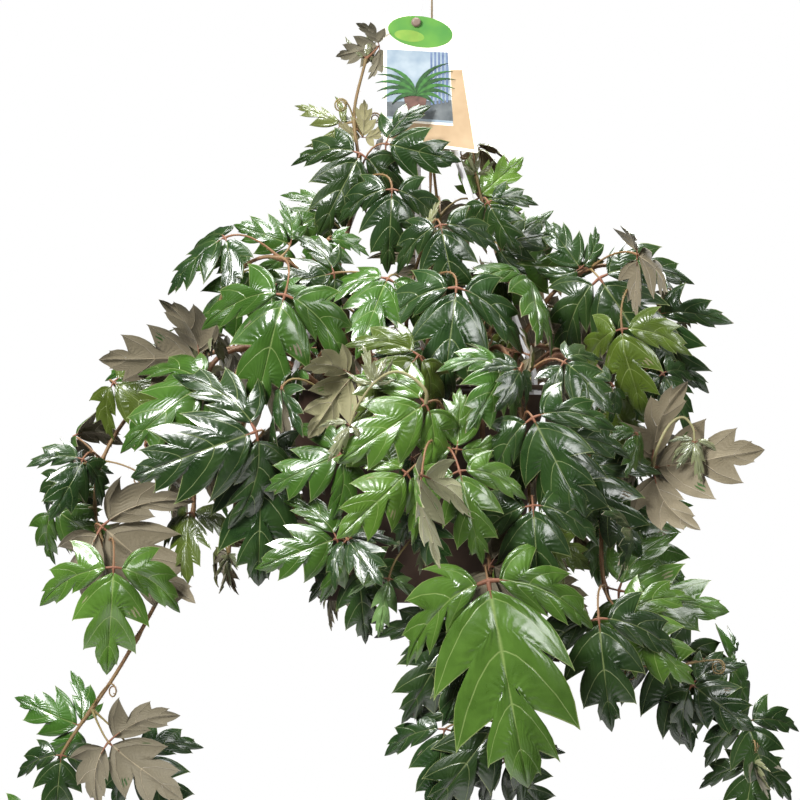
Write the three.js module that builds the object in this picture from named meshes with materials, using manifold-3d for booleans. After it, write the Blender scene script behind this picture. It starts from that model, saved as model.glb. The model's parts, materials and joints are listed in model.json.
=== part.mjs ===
// A grape ivy growing in a hanging pot: pot, soil, three-armed hanger, hang tag and the leafy stems.
// Millimetres, +Z up. The origin is the highest point of the hook's inner side, where the pot hangs.
// Seen from the front one looks along +Y, so the front of the plant has a negative y.
import * as THREE from "three";
import { mergeVertices } from "three/addons/utils/BufferGeometryUtils.js";
import Module from "manifold-3d";

const wasm = await Module();
wasm.setup();

// ---------- driving dimensions ----------

const GAP = 0.4; // between pieces that meet

const HOOK_INNER_RADIUS = 12;
const HOOK_STRIP = { width: 7, thick: 3 };
const HOOK_NECK = { share: 0.72, height: -26 }; // where the shank leans out into the hook
const HOOK_LIP = { out: 3.5, down: 11 }; // the hook's open end
const HUB = { top: -66, bottom: -82, radius: 8.5 };

const ARM_STRIP = { width: 4, thick: 2.6 };
const ARM_AZIMUTHS = [-152, -32, 88];
const ARM_TOP = [4.5, -76]; // [radius, height]
const ARM_BEND = [12, -92];
const ARM_KNEE = { inset: 2.5, top: 13, bottom: 4 }; // above the rim, where the arm turns down
const ARM_FOOT = { wide: 9, deep: 4.5, high: 2.4 };

const POT = { rim: -267, height: 128, rimRadius: 86, wallRadius: 77, baseRadius: 59, wall: 2, flange: 3 };
const POT_SLOT_RADIUS = 82;
const POT_BOTTOM = POT.rim - POT.height;
const DRAIN = { count: 4, radius: 4, ring: 38 };
const ROUND = 28; // sides of a round piece

const SOIL_TOP = POT.rim - 12;
const SOIL_FLAT = 0.8; // how much of the soil's top is level, as a share of its radius
const STEM_DEPTH = 24; // how far a stem goes down into the soil
const STEM_HOLE_RADIUS = 4.6;
const STEM_HOLE_SIDES = 5;

const TAG_CORNERS = [[-19.5, 6.5], [25, 0], [37, -82], [-19.5, -74]]; // [x, z] from the stud
const TAG = { thick: 0.7, back: -4.6, studHeight: -50, lean: 14, hole: 1.9 };
const STUD = { headRadius: 2.9, headHigh: 2, pinRadius: 1.4, clipRadius: 2.6, clipHigh: 1.2 };

const STEM_RADIUS = { root: 2.3, tip: 1.1 };
const BARE_STEM = 0.6; // how thin a stem without leaves is, as a share
const STEM_STEP = 34; // length of stem between two of its nodes, where a leaf may grow
const STALK_RADIUS = 1.1;
const STALK_HALF = 0.88; // half the width of a stalk's square section
const SHORT_STALK = 26; // a stalk shorter than this is straight
const BLADE_THICK = 0.9;

// ---------- solids ----------

function degrees(angle) {
  return (angle * Math.PI) / 180;
}

// A closed three.js geometry as a manifold-3d solid that faces outwards.
function solidOf(geometry) {
  const bare = geometry.index ? geometry.clone() : geometry;
  bare.deleteAttribute("normal");
  bare.deleteAttribute("uv");
  const merged = mergeVertices(bare, 1e-4);
  const spots = merged.getAttribute("position").array;
  const corners = merged.index.array;
  const kept = [];
  for (let i = 0; i < corners.length; i += 3) {
    const [a, b, c] = corners.slice(i, i + 3);
    if (a !== b && b !== c && c !== a) kept.push(a, b, c);
  }
  let volume = 0;
  const at = (i) => new THREE.Vector3().fromArray(spots, 3 * i);
  for (let i = 0; i < kept.length; i += 3)
    volume += at(kept[i]).dot(at(kept[i + 1]).cross(at(kept[i + 2])));
  if (volume < 0) kept.reverse();
  return new wasm.Manifold(
    new wasm.Mesh({
      numProp: 3,
      vertProperties: new Float32Array(spots),
      triVerts: new Uint32Array(kept),
    }),
  );
}

function geometryOf(solid) {
  const mesh = solid.getMesh();
  const geometry = new THREE.BufferGeometry();
  geometry.setAttribute("position", new THREE.BufferAttribute(mesh.vertProperties, 3));
  geometry.setIndex(new THREE.BufferAttribute(mesh.triVerts, 1));
  geometry.computeVertexNormals();
  return geometry;
}

// The outer skin of the largest body, so that hollows shut in by joining are filled.
function largestBody(solid) {
  return solid.decompose().reduce((best, body) => (body.volume() > best.volume() ? body : best));
}

function joined(solids) {
  return solids.reduce((all, solid) => all.add(solid));
}

// A turned piece with +Z as its axis, from a profile of [radius, height].
function turned(profile, sides = ROUND) {
  const points = profile.map(([radius, height]) => new THREE.Vector2(radius, height));
  return solidOf(new THREE.LatheGeometry(points, sides).rotateX(Math.PI / 2));
}

// A rectangular strip along a route of points. Its width lies across the plane of the route.
function strip(points, { width, thick }, grow, steps) {
  const w = width / 2 + grow;
  const t = thick / 2 + grow;
  const corners = [[-w, -t], [w, -t], [w, t], [-w, t]];
  const section = new THREE.Shape(corners.map(([x, y]) => new THREE.Vector2(x, y)));
  const extrudePath = new THREE.CatmullRomCurve3(points);
  return solidOf(new THREE.ExtrudeGeometry(section, { steps, extrudePath, bevelEnabled: false }));
}

// A round pin along Y, from y = front to y = back, through (0, *, 0).
function pinAlongY(radius, front, back, sides = 12) {
  const pin = new THREE.CylinderGeometry(radius, radius, back - front, sides);
  return solidOf(pin.translate(0, (front + back) / 2, 0));
}

// ---------- the pot, its soil and its hanger ----------

function armRoute(azimuth, extraTop = 0) {
  const [topRadius, topHeight] = ARM_TOP;
  const [bendRadius, bendHeight] = ARM_BEND;
  const [kneeRadius, kneeHeight] = [POT_SLOT_RADIUS - ARM_KNEE.inset, POT.rim + ARM_KNEE.top];
  const profile = [
    [topRadius, topHeight + extraTop],
    [bendRadius, bendHeight],
    [(bendRadius + kneeRadius) / 2, (bendHeight + kneeHeight) / 2],
    [kneeRadius, kneeHeight],
    [POT_SLOT_RADIUS, POT.rim + ARM_KNEE.bottom],
    [POT_SLOT_RADIUS, POT.rim - POT.flange - GAP - ARM_FOOT.high],
  ];
  const turn = new THREE.Vector3(Math.cos(degrees(azimuth)), Math.sin(degrees(azimuth)), 0);
  return { profile, turn };
}

function armSolid(azimuth, grow = 0, extraTop = 0) {
  const { profile } = armRoute(azimuth, extraTop);
  const points = profile.map(([radius, height]) => new THREE.Vector3(radius, 0, height));
  return strip(points, ARM_STRIP, grow, 10).rotate([0, 0, azimuth]);
}

function armWithFoot(azimuth) {
  const { wide, deep, high } = ARM_FOOT;
  const foot = new THREE.BoxGeometry(deep, wide, high);
  foot.translate(POT_SLOT_RADIUS, 0, POT.rim - POT.flange - GAP - high / 2);
  return armSolid(azimuth).add(solidOf(foot).rotate([0, 0, azimuth]));
}

function hangerHook() {
  const middle = HOOK_INNER_RADIUS + HOOK_STRIP.thick / 2;
  const straight = [HUB.bottom + 6, HUB.top + 8, HUB.top + 20, HUB.top + 29].map((z) => [0, z]);
  const route = [...straight, [middle * HOOK_NECK.share, HOOK_NECK.height]];
  for (let turn = 0; turn <= 180; turn += 30)
    route.push([middle * Math.cos(degrees(turn)), middle * Math.sin(degrees(turn)) - HOOK_INNER_RADIUS]);
  route.push([-middle - HOOK_LIP.out, -HOOK_INNER_RADIUS - HOOK_LIP.down]);
  const points = route.map(([y, z]) => new THREE.Vector3(y, 0, z));
  const hub = turned([
    [0, HUB.top],
    [HUB.radius - 3, HUB.top],
    [HUB.radius, HUB.top - 3],
    [HUB.radius, HUB.bottom],
    [0, HUB.bottom],
  ], 20);
  const sockets = joined(ARM_AZIMUTHS.map((azimuth) => armSolid(azimuth, GAP, GAP)));
  const studHole = pinAlongY(TAG.hole, -9, 9).translate([0, 0, TAG.studHeight]);
  const hook = strip(points, HOOK_STRIP, 0, 22).rotate([0, 0, 90]);
  return hook.add(hub).subtract(sockets).subtract(studHole);
}

function pot() {
  const inner = POT.wallRadius - POT.wall;
  const innerBase = POT.baseRadius - POT.wall;
  const shell = turned([
    [0, POT_BOTTOM],
    [POT.baseRadius - 2, POT_BOTTOM],
    [POT.baseRadius, POT_BOTTOM + 2],
    [POT.wallRadius, POT.rim - POT.flange],
    [POT.rimRadius, POT.rim - POT.flange],
    [POT.rimRadius, POT.rim],
    [inner, POT.rim],
    [innerBase, POT_BOTTOM + POT.wall],
    [0, POT_BOTTOM + POT.wall],
  ]);
  const slots = joined(ARM_AZIMUTHS.map((azimuth) => armSolid(azimuth, GAP)));
  const drains = Array.from({ length: DRAIN.count }, (_, i) => {
    const turn = degrees((360 * i) / DRAIN.count);
    const drain = new THREE.CylinderGeometry(DRAIN.radius, DRAIN.radius, 10, 8).rotateX(Math.PI / 2);
    drain.translate(DRAIN.ring * Math.cos(turn), DRAIN.ring * Math.sin(turn), POT_BOTTOM);
    return solidOf(drain);
  });
  return shell.subtract(slots).subtract(joined(drains));
}

// The inside radius of the pot's wall at a height.
function insideRadius(height) {
  const share = (height - POT_BOTTOM) / POT.height;
  return THREE.MathUtils.lerp(POT.baseRadius, POT.wallRadius, share) - POT.wall;
}

function soil(roots) {
  const low = POT_BOTTOM + POT.wall + GAP;
  const body = turned([
    [0, low],
    [insideRadius(low) - 3 * GAP, low],
    [insideRadius(SOIL_TOP) - 2 * GAP, SOIL_TOP - 1],
    [insideRadius(SOIL_TOP) * SOIL_FLAT, SOIL_TOP],
    [0, SOIL_TOP],
  ]);
  const holes = roots.map(([x, y]) => {
    const deep = STEM_DEPTH + 2;
    const hole = new THREE.CylinderGeometry(STEM_HOLE_RADIUS, STEM_HOLE_RADIUS, 2 * deep, STEM_HOLE_SIDES);
    return solidOf(hole.rotateX(Math.PI / 2).translate(x, y, SOIL_TOP));
  });
  return body.subtract(joined(holes));
}

function tagCard() {
  const card = new THREE.Shape(TAG_CORNERS.map(([x, z]) => new THREE.Vector2(x, z)));
  const hole = new THREE.Path().absarc(0, 0, TAG.hole, 0, 2 * Math.PI);
  card.holes.push(hole);
  const plate = new THREE.ExtrudeGeometry(card, { depth: TAG.thick, bevelEnabled: false, curveSegments: 8 });
  return solidOf(plate.rotateX(Math.PI / 2));
}

// The stud goes through the tag and the hook's shank: head in front, clip behind.
function tagStud() {
  const front = TAG.back - TAG.thick - STUD.headRadius * Math.tan(degrees(TAG.lean)) - GAP;
  const rear = HOOK_STRIP.thick / 2 + GAP;
  const head = pinAlongY(STUD.headRadius, front - STUD.headHigh, front);
  const pin = pinAlongY(STUD.pinRadius, front - 1, rear + 1, 8);
  const clip = pinAlongY(STUD.clipRadius, rear, rear + STUD.clipHigh);
  return joined([head, pin, clip]).translate([0, 0, TAG.studHeight]);
}

// ---------- the leafy stems: where they grow ----------

// Each stem has its root in the soil [x, y], its route above the rim, leaves that are placed one by
// one and a number of further leaves that follow the rule below. A leaf placed by hand is
// [x, y, z of the point where its leaflets meet, aim, nod, face, length of its end leaflet].
// Aim is the tip's direction seen from the front: 0 right, 90 up, -90 down. Nod lifts the tip towards
// the viewer. Face turns the blade about its rib: 0 shows the upper side, 180 the underside.
const STEMS = [
  {
    name: "climber_left",
    root: [-22, -14],
    route: [
      [-44, -34, -235],
      [-46, -34, -200],
      [-38, -30, -165],
      [-34, -26, -138],
      [-37, -14, -105],
      [-30, -7, -72],
    ],
    leaves: [
      [-17, -30, -126, -22, 6, 0, 52],
      [-33, -42, -131, -118, 8, 0, 56],
      [-14, -56, -153, -92, 8, 0, 50],
      [-22, -5, -64, 192, 0, 170, 27],
      [-45, -16, -112, 150, 0, 20, 30],
      [-33, -12, -120, 85, 0, 160, 25],
      [-52, -38, -170, -140, 10, 0, 44],
    ],
    more: 0,
  },
  {
    name: "climber_right",
    root: [24, -10],
    route: [[44, -20, -235], [50, -18, -200], [42, -12, -170], [36, -4, -142]],
    leaves: [
      [38, -6, -154, 42, 0, 0, 36],
      [41, -42, -158, -62, 8, 10, 38],
      [49, -24, -184, 12, 8, 0, 36],
      [56, -16, -194, -8, 6, 10, 50],
    ],
    more: 1,
  },
  {
    name: "shoot",
    root: [6, 8],
    route: [[8, 9, -200], [9, 8, -120], [9.5, 7, -60], [9.6, 6, -30]],
    leaves: [],
    more: 0,
  },
  {
    name: "climber_back",
    root: [4, 30],
    route: [[22, 52, -235], [18, 44, -200], [14, 32, -165], [10, 22, -130]],
    leaves: [],
    more: 5,
    leafyFrom: 0.46,
  },
  {
    name: "crown_front",
    root: [-2, -34],
    route: [[-6, -46, -235], [-2, -54, -205], [6, -50, -180]],
    leaves: [
      [23, -94, -211, -97, 14, 0, 66],
      [-48, -70, -202, 192, 8, 0, 42],
      [14, -74, -174, -78, 10, 0, 48],
    ],
    more: 1,
  },
  {
    name: "arch_left",
    root: [-46, -20],
    route: [[-60, -44, -230], [-66, -54, -202], [-88, -56, -192], [-110, -54, -206], [-120, -50, -235]],
    leaves: [
      [-76, -100, -214, -100, 8, 0, 76],
      [-95, -44, -199, -124, 6, 0, 52],
      [-127, -56, -252, 178, 0, 172, 58],
      [-74, -44, -184, 160, 4, 0, 36],
    ],
    more: 1,
  },
  {
    name: "left_low",
    root: [-56, -12],
    route: [[-84, -24, -252], [-102, -50, -254], [-108, -74, -278], [-104, -86, -308]],
    leaves: [
      [-122, -92, -268, -142, 8, 30, 68],
      [-92, -116, -294, -160, 10, 0, 74],
      [-89, -98, -304, -92, 6, 0, 78],
    ],
    more: 1,
  },
  {
    name: "front_left",
    root: [-24, -44],
    route: [[-36, -66, -246], [-44, -88, -256], [-46, -98, -290], [-40, -102, -330], [-36, -98, -362]],
    leaves: [
      [-37, -100, -262, -130, 8, 165, 46],
      [-42, -124, -306, 200, 8, 10, 52],
      [-45, -116, -354, -156, 12, 0, 52],
      [-34, -108, -374, -88, 4, 0, 54],
    ],
    more: 1,
  },
  {
    name: "front_middle",
    root: [4, -54],
    route: [[8, -74, -250], [10, -94, -258], [12, -102, -285], [12, -104, -316], [4, -106, -350]],
    leaves: [
      [5, -140, -278, -146, 14, 0, 58],
      [26, -138, -306, 78, -6, 0, 50],
      [24, -146, -316, -76, 14, 0, 52],
      [-6, -136, -317, -138, 12, 0, 56],
      [2, -166, -318, -94, 6, 118, 52],
      [-16, -118, -378, -100, 6, 0, 34],
    ],
    more: 1,
  },
  {
    name: "front_right",
    root: [34, -42],
    route: [[44, -62, -246], [54, -84, -252], [60, -92, -280], [64, -94, -315], [66, -92, -350]],
    leaves: [
      [66, -126, -286, -62, 10, 0, 62],
      [78, -102, -300, -66, 10, 0, 60],
      [66, -130, -336, -86, 6, 0, 60],
      [98, -80, -318, -56, 8, 0, 58],
    ],
    more: 1,
  },
  {
    name: "trail_middle",
    root: [16, -62],
    route: [
      [30, -82, -250],
      [36, -98, -264],
      [38, -104, -300],
      [40, -106, -345],
      [42, -104, -380],
      [38, -98, -420],
      [36, -94, -460],
      [30, -90, -505],
      [24, -88, -535],
    ],
    leaves: [
      [40, -148, -378, -79, 10, 0, 116],
      [44, -112, -372, -28, 0, 170, 58],
      [22, -102, -410, -120, 6, 0, 60],
      [46, -104, -462, -127, 6, 0, 64],
      [16, -94, -466, -98, 4, 0, 50],
      [52, -84, -484, -60, 4, 0, 52],
      [28, -94, -514, -104, 4, 0, 48],
    ],
    more: 1,
  },
  {
    name: "arch_right",
    root: [46, -6],
    route: [[66, -12, -234], [86, -22, -208], [112, -26, -196], [136, -22, -206], [150, -16, -232]],
    leaves: [
      [108, -42, -204, -56, 12, 0, 72],
      [142, -26, -226, -68, 4, 45, 54],
      [116, -66, -238, -92, 4, 20, 62],
      [97, -28, -198, 128, 4, 0, 36],
    ],
    more: 1,
  },
  {
    name: "right_low",
    root: [60, 6],
    route: [[84, 4, -246], [108, -10, -256], [122, -30, -284], [128, -44, -308]],
    leaves: [
      [136, -58, -314, 6, 4, 165, 78],
      [119, -56, -344, -48, 6, 0, 58],
      [112, -34, -268, -72, 8, 15, 60],
    ],
    more: 1,
  },
  {
    name: "trail_right",
    root: [58, -24],
    route: [
      [84, -32, -250],
      [104, -50, -264],
      [110, -62, -300],
      [108, -68, -345],
      [110, -70, -385],
      [126, -66, -415],
      [150, -60, -434],
      [178, -54, -458],
      [198, -50, -488],
    ],
    leaves: [
      [118, -80, -386, -14, 6, 0, 68],
      [119, -104, -400, -44, 8, 0, 56],
      [102, -124, -403, -88, 4, 0, 74],
      [143, -58, -424, -72, 4, 0, 62],
      [161, -64, -442, -36, 6, 0, 46],
      [194, -60, -466, -66, 4, 0, 52],
      [198, -48, -492, -98, 4, 0, 44],
    ],
    more: 2,
  },
  {
    name: "trail_left_high",
    root: [-42, 16],
    route: [
      [-84, 6, -246],
      [-128, -12, -250],
      [-166, -26, -280],
      [-186, -34, -312],
      [-190, -36, -340],
      [-184, -38, -364],
    ],
    leaves: [
      [-208, -28, -318, -60, 4, 0, 36],
      [-214, -40, -340, -35, 4, 0, 44],
      [-184, -64, -350, -42, -10, 170, 68],
      [-177, -92, -374, -82, 6, 0, 78],
      [-152, -4, -258, -112, 0, 0, 48],
    ],
    more: 1,
  },
  {
    name: "trail_left_low",
    root: [-60, 10],
    route: [
      [-92, -8, -246],
      [-120, -34, -254],
      [-130, -48, -296],
      [-132, -54, -348],
      [-148, -56, -386],
      [-176, -54, -436],
      [-206, -52, -480],
      [-220, -50, -512],
      [-216, -48, -540],
    ],
    leaves: [
      [-208, -60, -484, -96, 4, 0, 40],
      [-180, -66, -476, -40, 4, 165, 56],
      [-164, -58, -484, -52, 4, 0, 50],
      [-198, -46, -468, 158, 4, 0, 42],
      [-226, -52, -520, -104, 4, 0, 46],
    ],
    more: 0,
  },
];

// Stems round the back follow one rule: up over the rim, out to a shoulder and down.
const BACK_STEMS = [
  { name: "back_1", azimuth: 30, rootRadius: 56, end: -345, more: 4, leafyFrom: 0.42 },
  { name: "back_2", azimuth: 52, rootRadius: 56, end: -370, more: 5, leafyFrom: 0.42 },
  { name: "back_3", azimuth: 75, rootRadius: 56, end: -350, more: 5, leafyFrom: 0.42 },
  { name: "back_4", azimuth: 101, rootRadius: 56, end: -375, more: 5, leafyFrom: 0.42 },
  { name: "back_5", azimuth: 126, rootRadius: 56, end: -350, more: 5, leafyFrom: 0.42 },
  { name: "back_6", azimuth: 152, rootRadius: 56, end: -370, more: 5, leafyFrom: 0.42 },
  { name: "back_trail_1", azimuth: 63, rootRadius: 36, end: -452, more: 3, leafyFrom: 0.66 },
  { name: "back_trail_2", azimuth: 114, rootRadius: 36, end: -396, more: 3, leafyFrom: 0.62 },
];
for (const { name, azimuth, rootRadius, end, more, leafyFrom } of BACK_STEMS) {
  const at = (radius, height) => [
    radius * Math.cos(degrees(azimuth)),
    radius * Math.sin(degrees(azimuth)),
    height,
  ];
  const route = [at(78, -244), at(102, -250), at(118, -282), at(124, (end - 282) / 2), at(130, end)];
  STEMS.push({ name, root: at(rootRadius, 0).slice(0, 2), route, leaves: [], more, leafyFrom });
}
const CROWN_STEMS = [
  { name: "crown_back_left", azimuth: 150, more: 3, leafyFrom: 0.62 },
  { name: "crown_back_right", azimuth: 40, more: 3, leafyFrom: 0.62 },
];
for (const { name, azimuth, more, leafyFrom } of CROWN_STEMS) {
  const at = (radius, height) => [
    radius * Math.cos(degrees(azimuth)),
    radius * Math.sin(degrees(azimuth)),
    height,
  ];
  const route = [at(36, -235), at(48, -210), at(66, -204)];
  STEMS.push({ name, root: at(26, 0).slice(0, 2), route, leaves: [], more, leafyFrom });
}

// ---------- the blade of a leaf ----------

// Three leaflets cut nearly to the point where they meet, drawn along their ribs: [distance along
// the rib, distance out from it], as shares of the leaflet's length, from its base to its tip.
const SIDE_ANGLE = degrees(86); // between the end leaflet's rib and a side leaflet's, at its base
const SIDE_BEND = 0.5; // how much a side leaflet turns towards the end leaflet, in radians
const DROOP = 0.3; // how far a tip hangs below its base
const ARCH = 0.7; // how much a blade falls away from its rib
const SIDE_DROP = 0.2; // how much the side leaflets hang further
const CLEFT = [0.06, 0.045]; // where the cuts between the leaflets end
const HEEL = [-0.05, 0.02]; // the corners of the blade's edge that the stalk grows from
const SIDE_SCALE = 0.76; // a side leaflet's length as a share of the end leaflet's
const LONG_SIDE_SCALE = 0.56; // the same in the longest leaves
const LARGE_BLADE = {
  end: [[0.5, 0.36], [0.4, 0.14], [0.75, 0.27], [0.67, 0.1]],
  outer: [[0.42, 0.38], [0.36, 0.15], [0.7, 0.27], [0.66, 0.1]],
  inner: [[0.55, 0.17]],
  endRib: [0.28, 0.52],
};
const SMALL_BLADE = {
  end: [[0.51, 0.35], [0.54, 0.14]],
  outer: [[0.43, 0.38], [0.52, 0.14]],
  inner: [],
  endRib: [],
};
const LARGE_FROM = 70; // leaves this long or longer get the large blade
const LONG_FROM = 77; // and leaves this long or longer have shorter side leaflets

// A point of the blade in the leaf's own axes: x along the end leaflet, y across, z up from it.
function bladePoint(side, along, out, sideScale) {
  const angle = side ? SIDE_ANGLE - SIDE_BEND * along : 0;
  const scale = side ? sideScale : 1;
  const across = side || 1;
  const x = scale * (along * Math.cos(angle) - out * Math.sin(angle));
  const y = scale * across * (along * Math.sin(angle) + out * Math.cos(angle));
  const drop = side ? SIDE_DROP * along : 0;
  const z = -scale * (DROOP * along * along + ARCH * out * out + drop);
  return [x, y, z];
}

// The blade's points, its edge as a loop of their numbers, and its triangles.
function bladePlan({ end, outer, inner, endRib }, sideScale = SIDE_SCALE) {
  const points = [];
  const faces = [];
  const add = (side, along, out) => {
    const [x, y, z] = bladePoint(side, along, out, sideScale);
    points.push({ x, y, z, along });
    return points.length - 1;
  };
  // Fills between a rib and an edge, both from base to tip.
  const fill = (rib, edge) => {
    let i = 0;
    let j = 0;
    while (i < rib.length - 1 || j < edge.length - 1) {
      const edgeNext = j < edge.length - 1 ? points[edge[j + 1]].along : Infinity;
      const ribNext = i < rib.length - 1 ? points[rib[i + 1]].along : Infinity;
      const face = edgeNext <= ribNext ? [rib[i], edge[j], edge[++j]] : [rib[i], edge[j], rib[++i]];
      const [a, b, c] = face.map((k) => points[k]);
      const twice = (b.x - a.x) * (c.y - a.y) - (c.x - a.x) * (b.y - a.y);
      faces.push(twice > 0 ? face : [face[0], face[2], face[1]]);
    }
  };
  const middle = add(0, 0, 0);
  const endRibPoints = [middle, ...endRib.map((along) => add(0, along, 0))];
  const heel = {};
  const cleft = {};
  const sideEdges = {};
  for (const side of [-1, 1]) {
    heel[side] = add(0, HEEL[0], side * HEEL[1]);
    cleft[side] = add(0, CLEFT[0], side * CLEFT[1]);
    const rib = [middle];
    const tip = add(side, 1, 0);
    const outerEdge = [heel[side], ...outer.map(([along, out]) => add(side, along, out)), tip];
    const innerEdge = [cleft[side], ...inner.map(([along, out]) => add(side, along, -out)), tip];
    fill(rib, outerEdge);
    fill(rib, innerEdge);
    sideEdges[side] = [...outerEdge, ...innerEdge.slice(0, -1).reverse()];
  }
  fill([heel[-1], heel[1]], [middle]);
  const endTip = add(0, 1, 0);
  const endEdges = {};
  for (const side of [-1, 1]) {
    const edge = [cleft[side], ...end.map(([along, out]) => add(0, along, side * out)), endTip];
    fill(endRibPoints, edge);
    endEdges[side] = edge;
  }
  const loop = [...sideEdges[-1], ...endEdges[-1].slice(1), ...endEdges[1].slice(1, -1).reverse()];
  loop.push(...sideEdges[1].slice().reverse());
  return { points, loop, faces };
}
const PLANS = {
  small: bladePlan(SMALL_BLADE),
  large: bladePlan(LARGE_BLADE),
  long: bladePlan(LARGE_BLADE, LONG_SIDE_SCALE),
};

function planFor(length) {
  if (length >= LONG_FROM) return "long";
  return length >= LARGE_FROM ? "large" : "small";
}

// ---------- placing the leaves, so that no two stems grow through each other ----------

const FRONT = -90; // azimuth of the side that one looks at
const TRIES = 40; // how often a leaf is turned before it is left out
const CLEAR = 1.8; // room above and below a blade
const TUBE_CLEAR = 0.8; // room between two stalks or stems, or from one to a blade's edge
const GROWN = 1.04; // a blade's outline with room round it
const ROOM = { stem: 0.8, stalk: 1, arm: 0.8, hub: 1, tag: 1.5, pot: 6 }; // round what leaves keep clear of
// How far a try may stray from the leaf's own [x, y, z, azimuth, aim, nod, face].
const STRAY_PLACED = [8, 14, 8, 0, 22, 20, 24];
const STRAY_MORE = [16, 16, 14, 26, 40, 22, 34];
const MORE_LENGTH = [46, 61];
const YOUNG_LENGTH = 34; // of the last leaf on a stem that follows the rule

function drawFrom(seed) {
  let state = seed;
  const draw = () => {
    state = (state * 1664525 + 1013904223) % 4294967296;
    return state / 4294967296;
  };
  for (let i = 0; i < 4; i++) draw();
  return draw;
}

function mix(a, b, share) {
  return a.map((value, i) => value + (b[i] - value) * share);
}

function minus(a, b) {
  return [a[0] - b[0], a[1] - b[1], a[2] - b[2]];
}

function dot(a, b) {
  return a[0] * b[0] + a[1] * b[1] + a[2] * b[2];
}

function cross(a, b) {
  return [a[1] * b[2] - a[2] * b[1], a[2] * b[0] - a[0] * b[2], a[0] * b[1] - a[1] * b[0]];
}

function moved(point, ...steps) {
  const end = [...point];
  for (const [direction, length] of steps) for (let i = 0; i < 3; i++) end[i] += direction[i] * length;
  return end;
}

function unit(a) {
  const length = Math.sqrt(dot(a, a));
  return a.map((value) => value / length);
}

// The leaf's axes: heading (its tip), across and upper side.
function leafAxes(azimuth, aim, nod, face) {
  const outward = [Math.cos(degrees(azimuth)), Math.sin(degrees(azimuth)), 0];
  const rightward = [-outward[1], outward[0], 0];
  const flat = moved([0, 0, 0], [rightward, Math.cos(degrees(aim))], [[0, 0, 1], Math.sin(degrees(aim))]);
  const heading = moved([0, 0, 0], [flat, Math.cos(degrees(nod))], [outward, Math.sin(degrees(nod))]);
  const level = unit(moved(outward, [heading, -dot(outward, heading)]));
  const turn = cross(heading, level);
  const upper = moved([0, 0, 0], [level, Math.cos(degrees(face))], [turn, Math.sin(degrees(face))]);
  return { heading, across: cross(upper, heading), upper };
}

function worldPoint(leaf, { x, y, z }, scale, lift) {
  const size = leaf.length * scale;
  const steps = [[leaf.heading, x * size], [leaf.across, y * size], [leaf.upper, z * size + lift]];
  return moved(leaf.at, ...steps);
}

// The stalk: from the stem to the leaf in one bend, arriving along the leaf's own direction.
function stalkPoints(from, leaf) {
  const length = Math.sqrt(dot(minus(leaf.at, from), minus(leaf.at, from)));
  if (length < SHORT_STALK) return [from, leaf.at];
  const bend = moved(leaf.at, [leaf.heading, -0.45 * length]);
  return [0, 0.5, 1].map((t) => mix(mix(from, bend, t), mix(bend, leaf.at, t), t));
}

// Things that take up room: faces and lines that may not meet, and tubes that keep their distance.
// Leaves of one stem may come as close as they like, so only their own edges count as lines there.
function thing(owner, faces, lines, tubes, edges = []) {
  const spots = [...faces.flat(), ...lines.flat()];
  const centre = spots.reduce((sum, spot) => moved(sum, [spot, 1 / spots.length]), [0, 0, 0]);
  const radius = Math.sqrt(Math.max(...spots.map((spot) => dot(minus(spot, centre), minus(spot, centre)))));
  return { owner, faces, lines, tubes, edges, centre, radius };
}

// Lines along a tube and short ones across it, which stand for its thickness.
function tubeLines(points, reach) {
  const lines = [];
  for (let i = 1; i < points.length; i++) {
    lines.push([points[i - 1], points[i]]);
    const along = unit(minus(points[i], points[i - 1]));
    const one = unit(cross(along, Math.abs(along[2]) < 0.9 ? [0, 0, 1] : [1, 0, 0]));
    const two = cross(along, one);
    for (const share of [0, 0.5, 1])
      for (const way of [one, two]) {
        const spot = mix(points[i - 1], points[i], share);
        lines.push([moved(spot, [way, -reach]), moved(spot, [way, reach])]);
      }
  }
  return lines;
}

function tubeSegments(points, radius) {
  return points.slice(1).map((point, i) => ({ from: points[i], to: point, radius }));
}

function leafThing(owner, leaf, stalk) {
  const plan = PLANS[leaf.plan];
  const at = (i, lift) => worldPoint(leaf, plan.points[i], GROWN, lift);
  const faces = plan.faces.map((face) => face.map((i) => at(i, 0)));
  const sides = plan.faces.flatMap(([a, b, c]) => [[a, b], [b, c], [c, a]]);
  const edges = sides.map(([i, j]) => [at(i, 0), at(j, 0)]);
  const lines = [-CLEAR, CLEAR].flatMap((lift) => sides.map(([i, j]) => [at(i, lift), at(j, lift)]));
  plan.points.forEach((_, i) => lines.push([at(i, -CLEAR), at(i, CLEAR)]));
  const rim = plan.loop.map((i, k) => [at(i, 0), at(plan.loop[(k + 1) % plan.loop.length], 0)]);
  const rims = rim.flatMap((points) => tubeSegments(points, BLADE_THICK / 2));
  const blade = thing(owner, faces, lines, rims, edges);
  const skin = tubeLines(stalk, STALK_RADIUS + ROOM.stalk);
  const stalkThing = thing(owner, [], skin, tubeSegments(stalk, STALK_RADIUS));
  return [blade, stalkThing];
}

// Whether the line from p to q goes through the triangle a, b, c.
function pierces([p, q], [a, b, c]) {
  const e1 = minus(b, a);
  const e2 = minus(c, a);
  const d = minus(q, p);
  const h = cross(d, e2);
  const det = dot(e1, h);
  if (Math.abs(det) < 1e-9) return false;
  const s = minus(p, a);
  const u = dot(s, h) / det;
  if (u < 0 || u > 1) return false;
  const k = cross(s, e1);
  const v = dot(d, k) / det;
  if (v < 0 || u + v > 1) return false;
  const t = dot(e2, k) / det;
  return t >= 0 && t <= 1;
}

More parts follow.
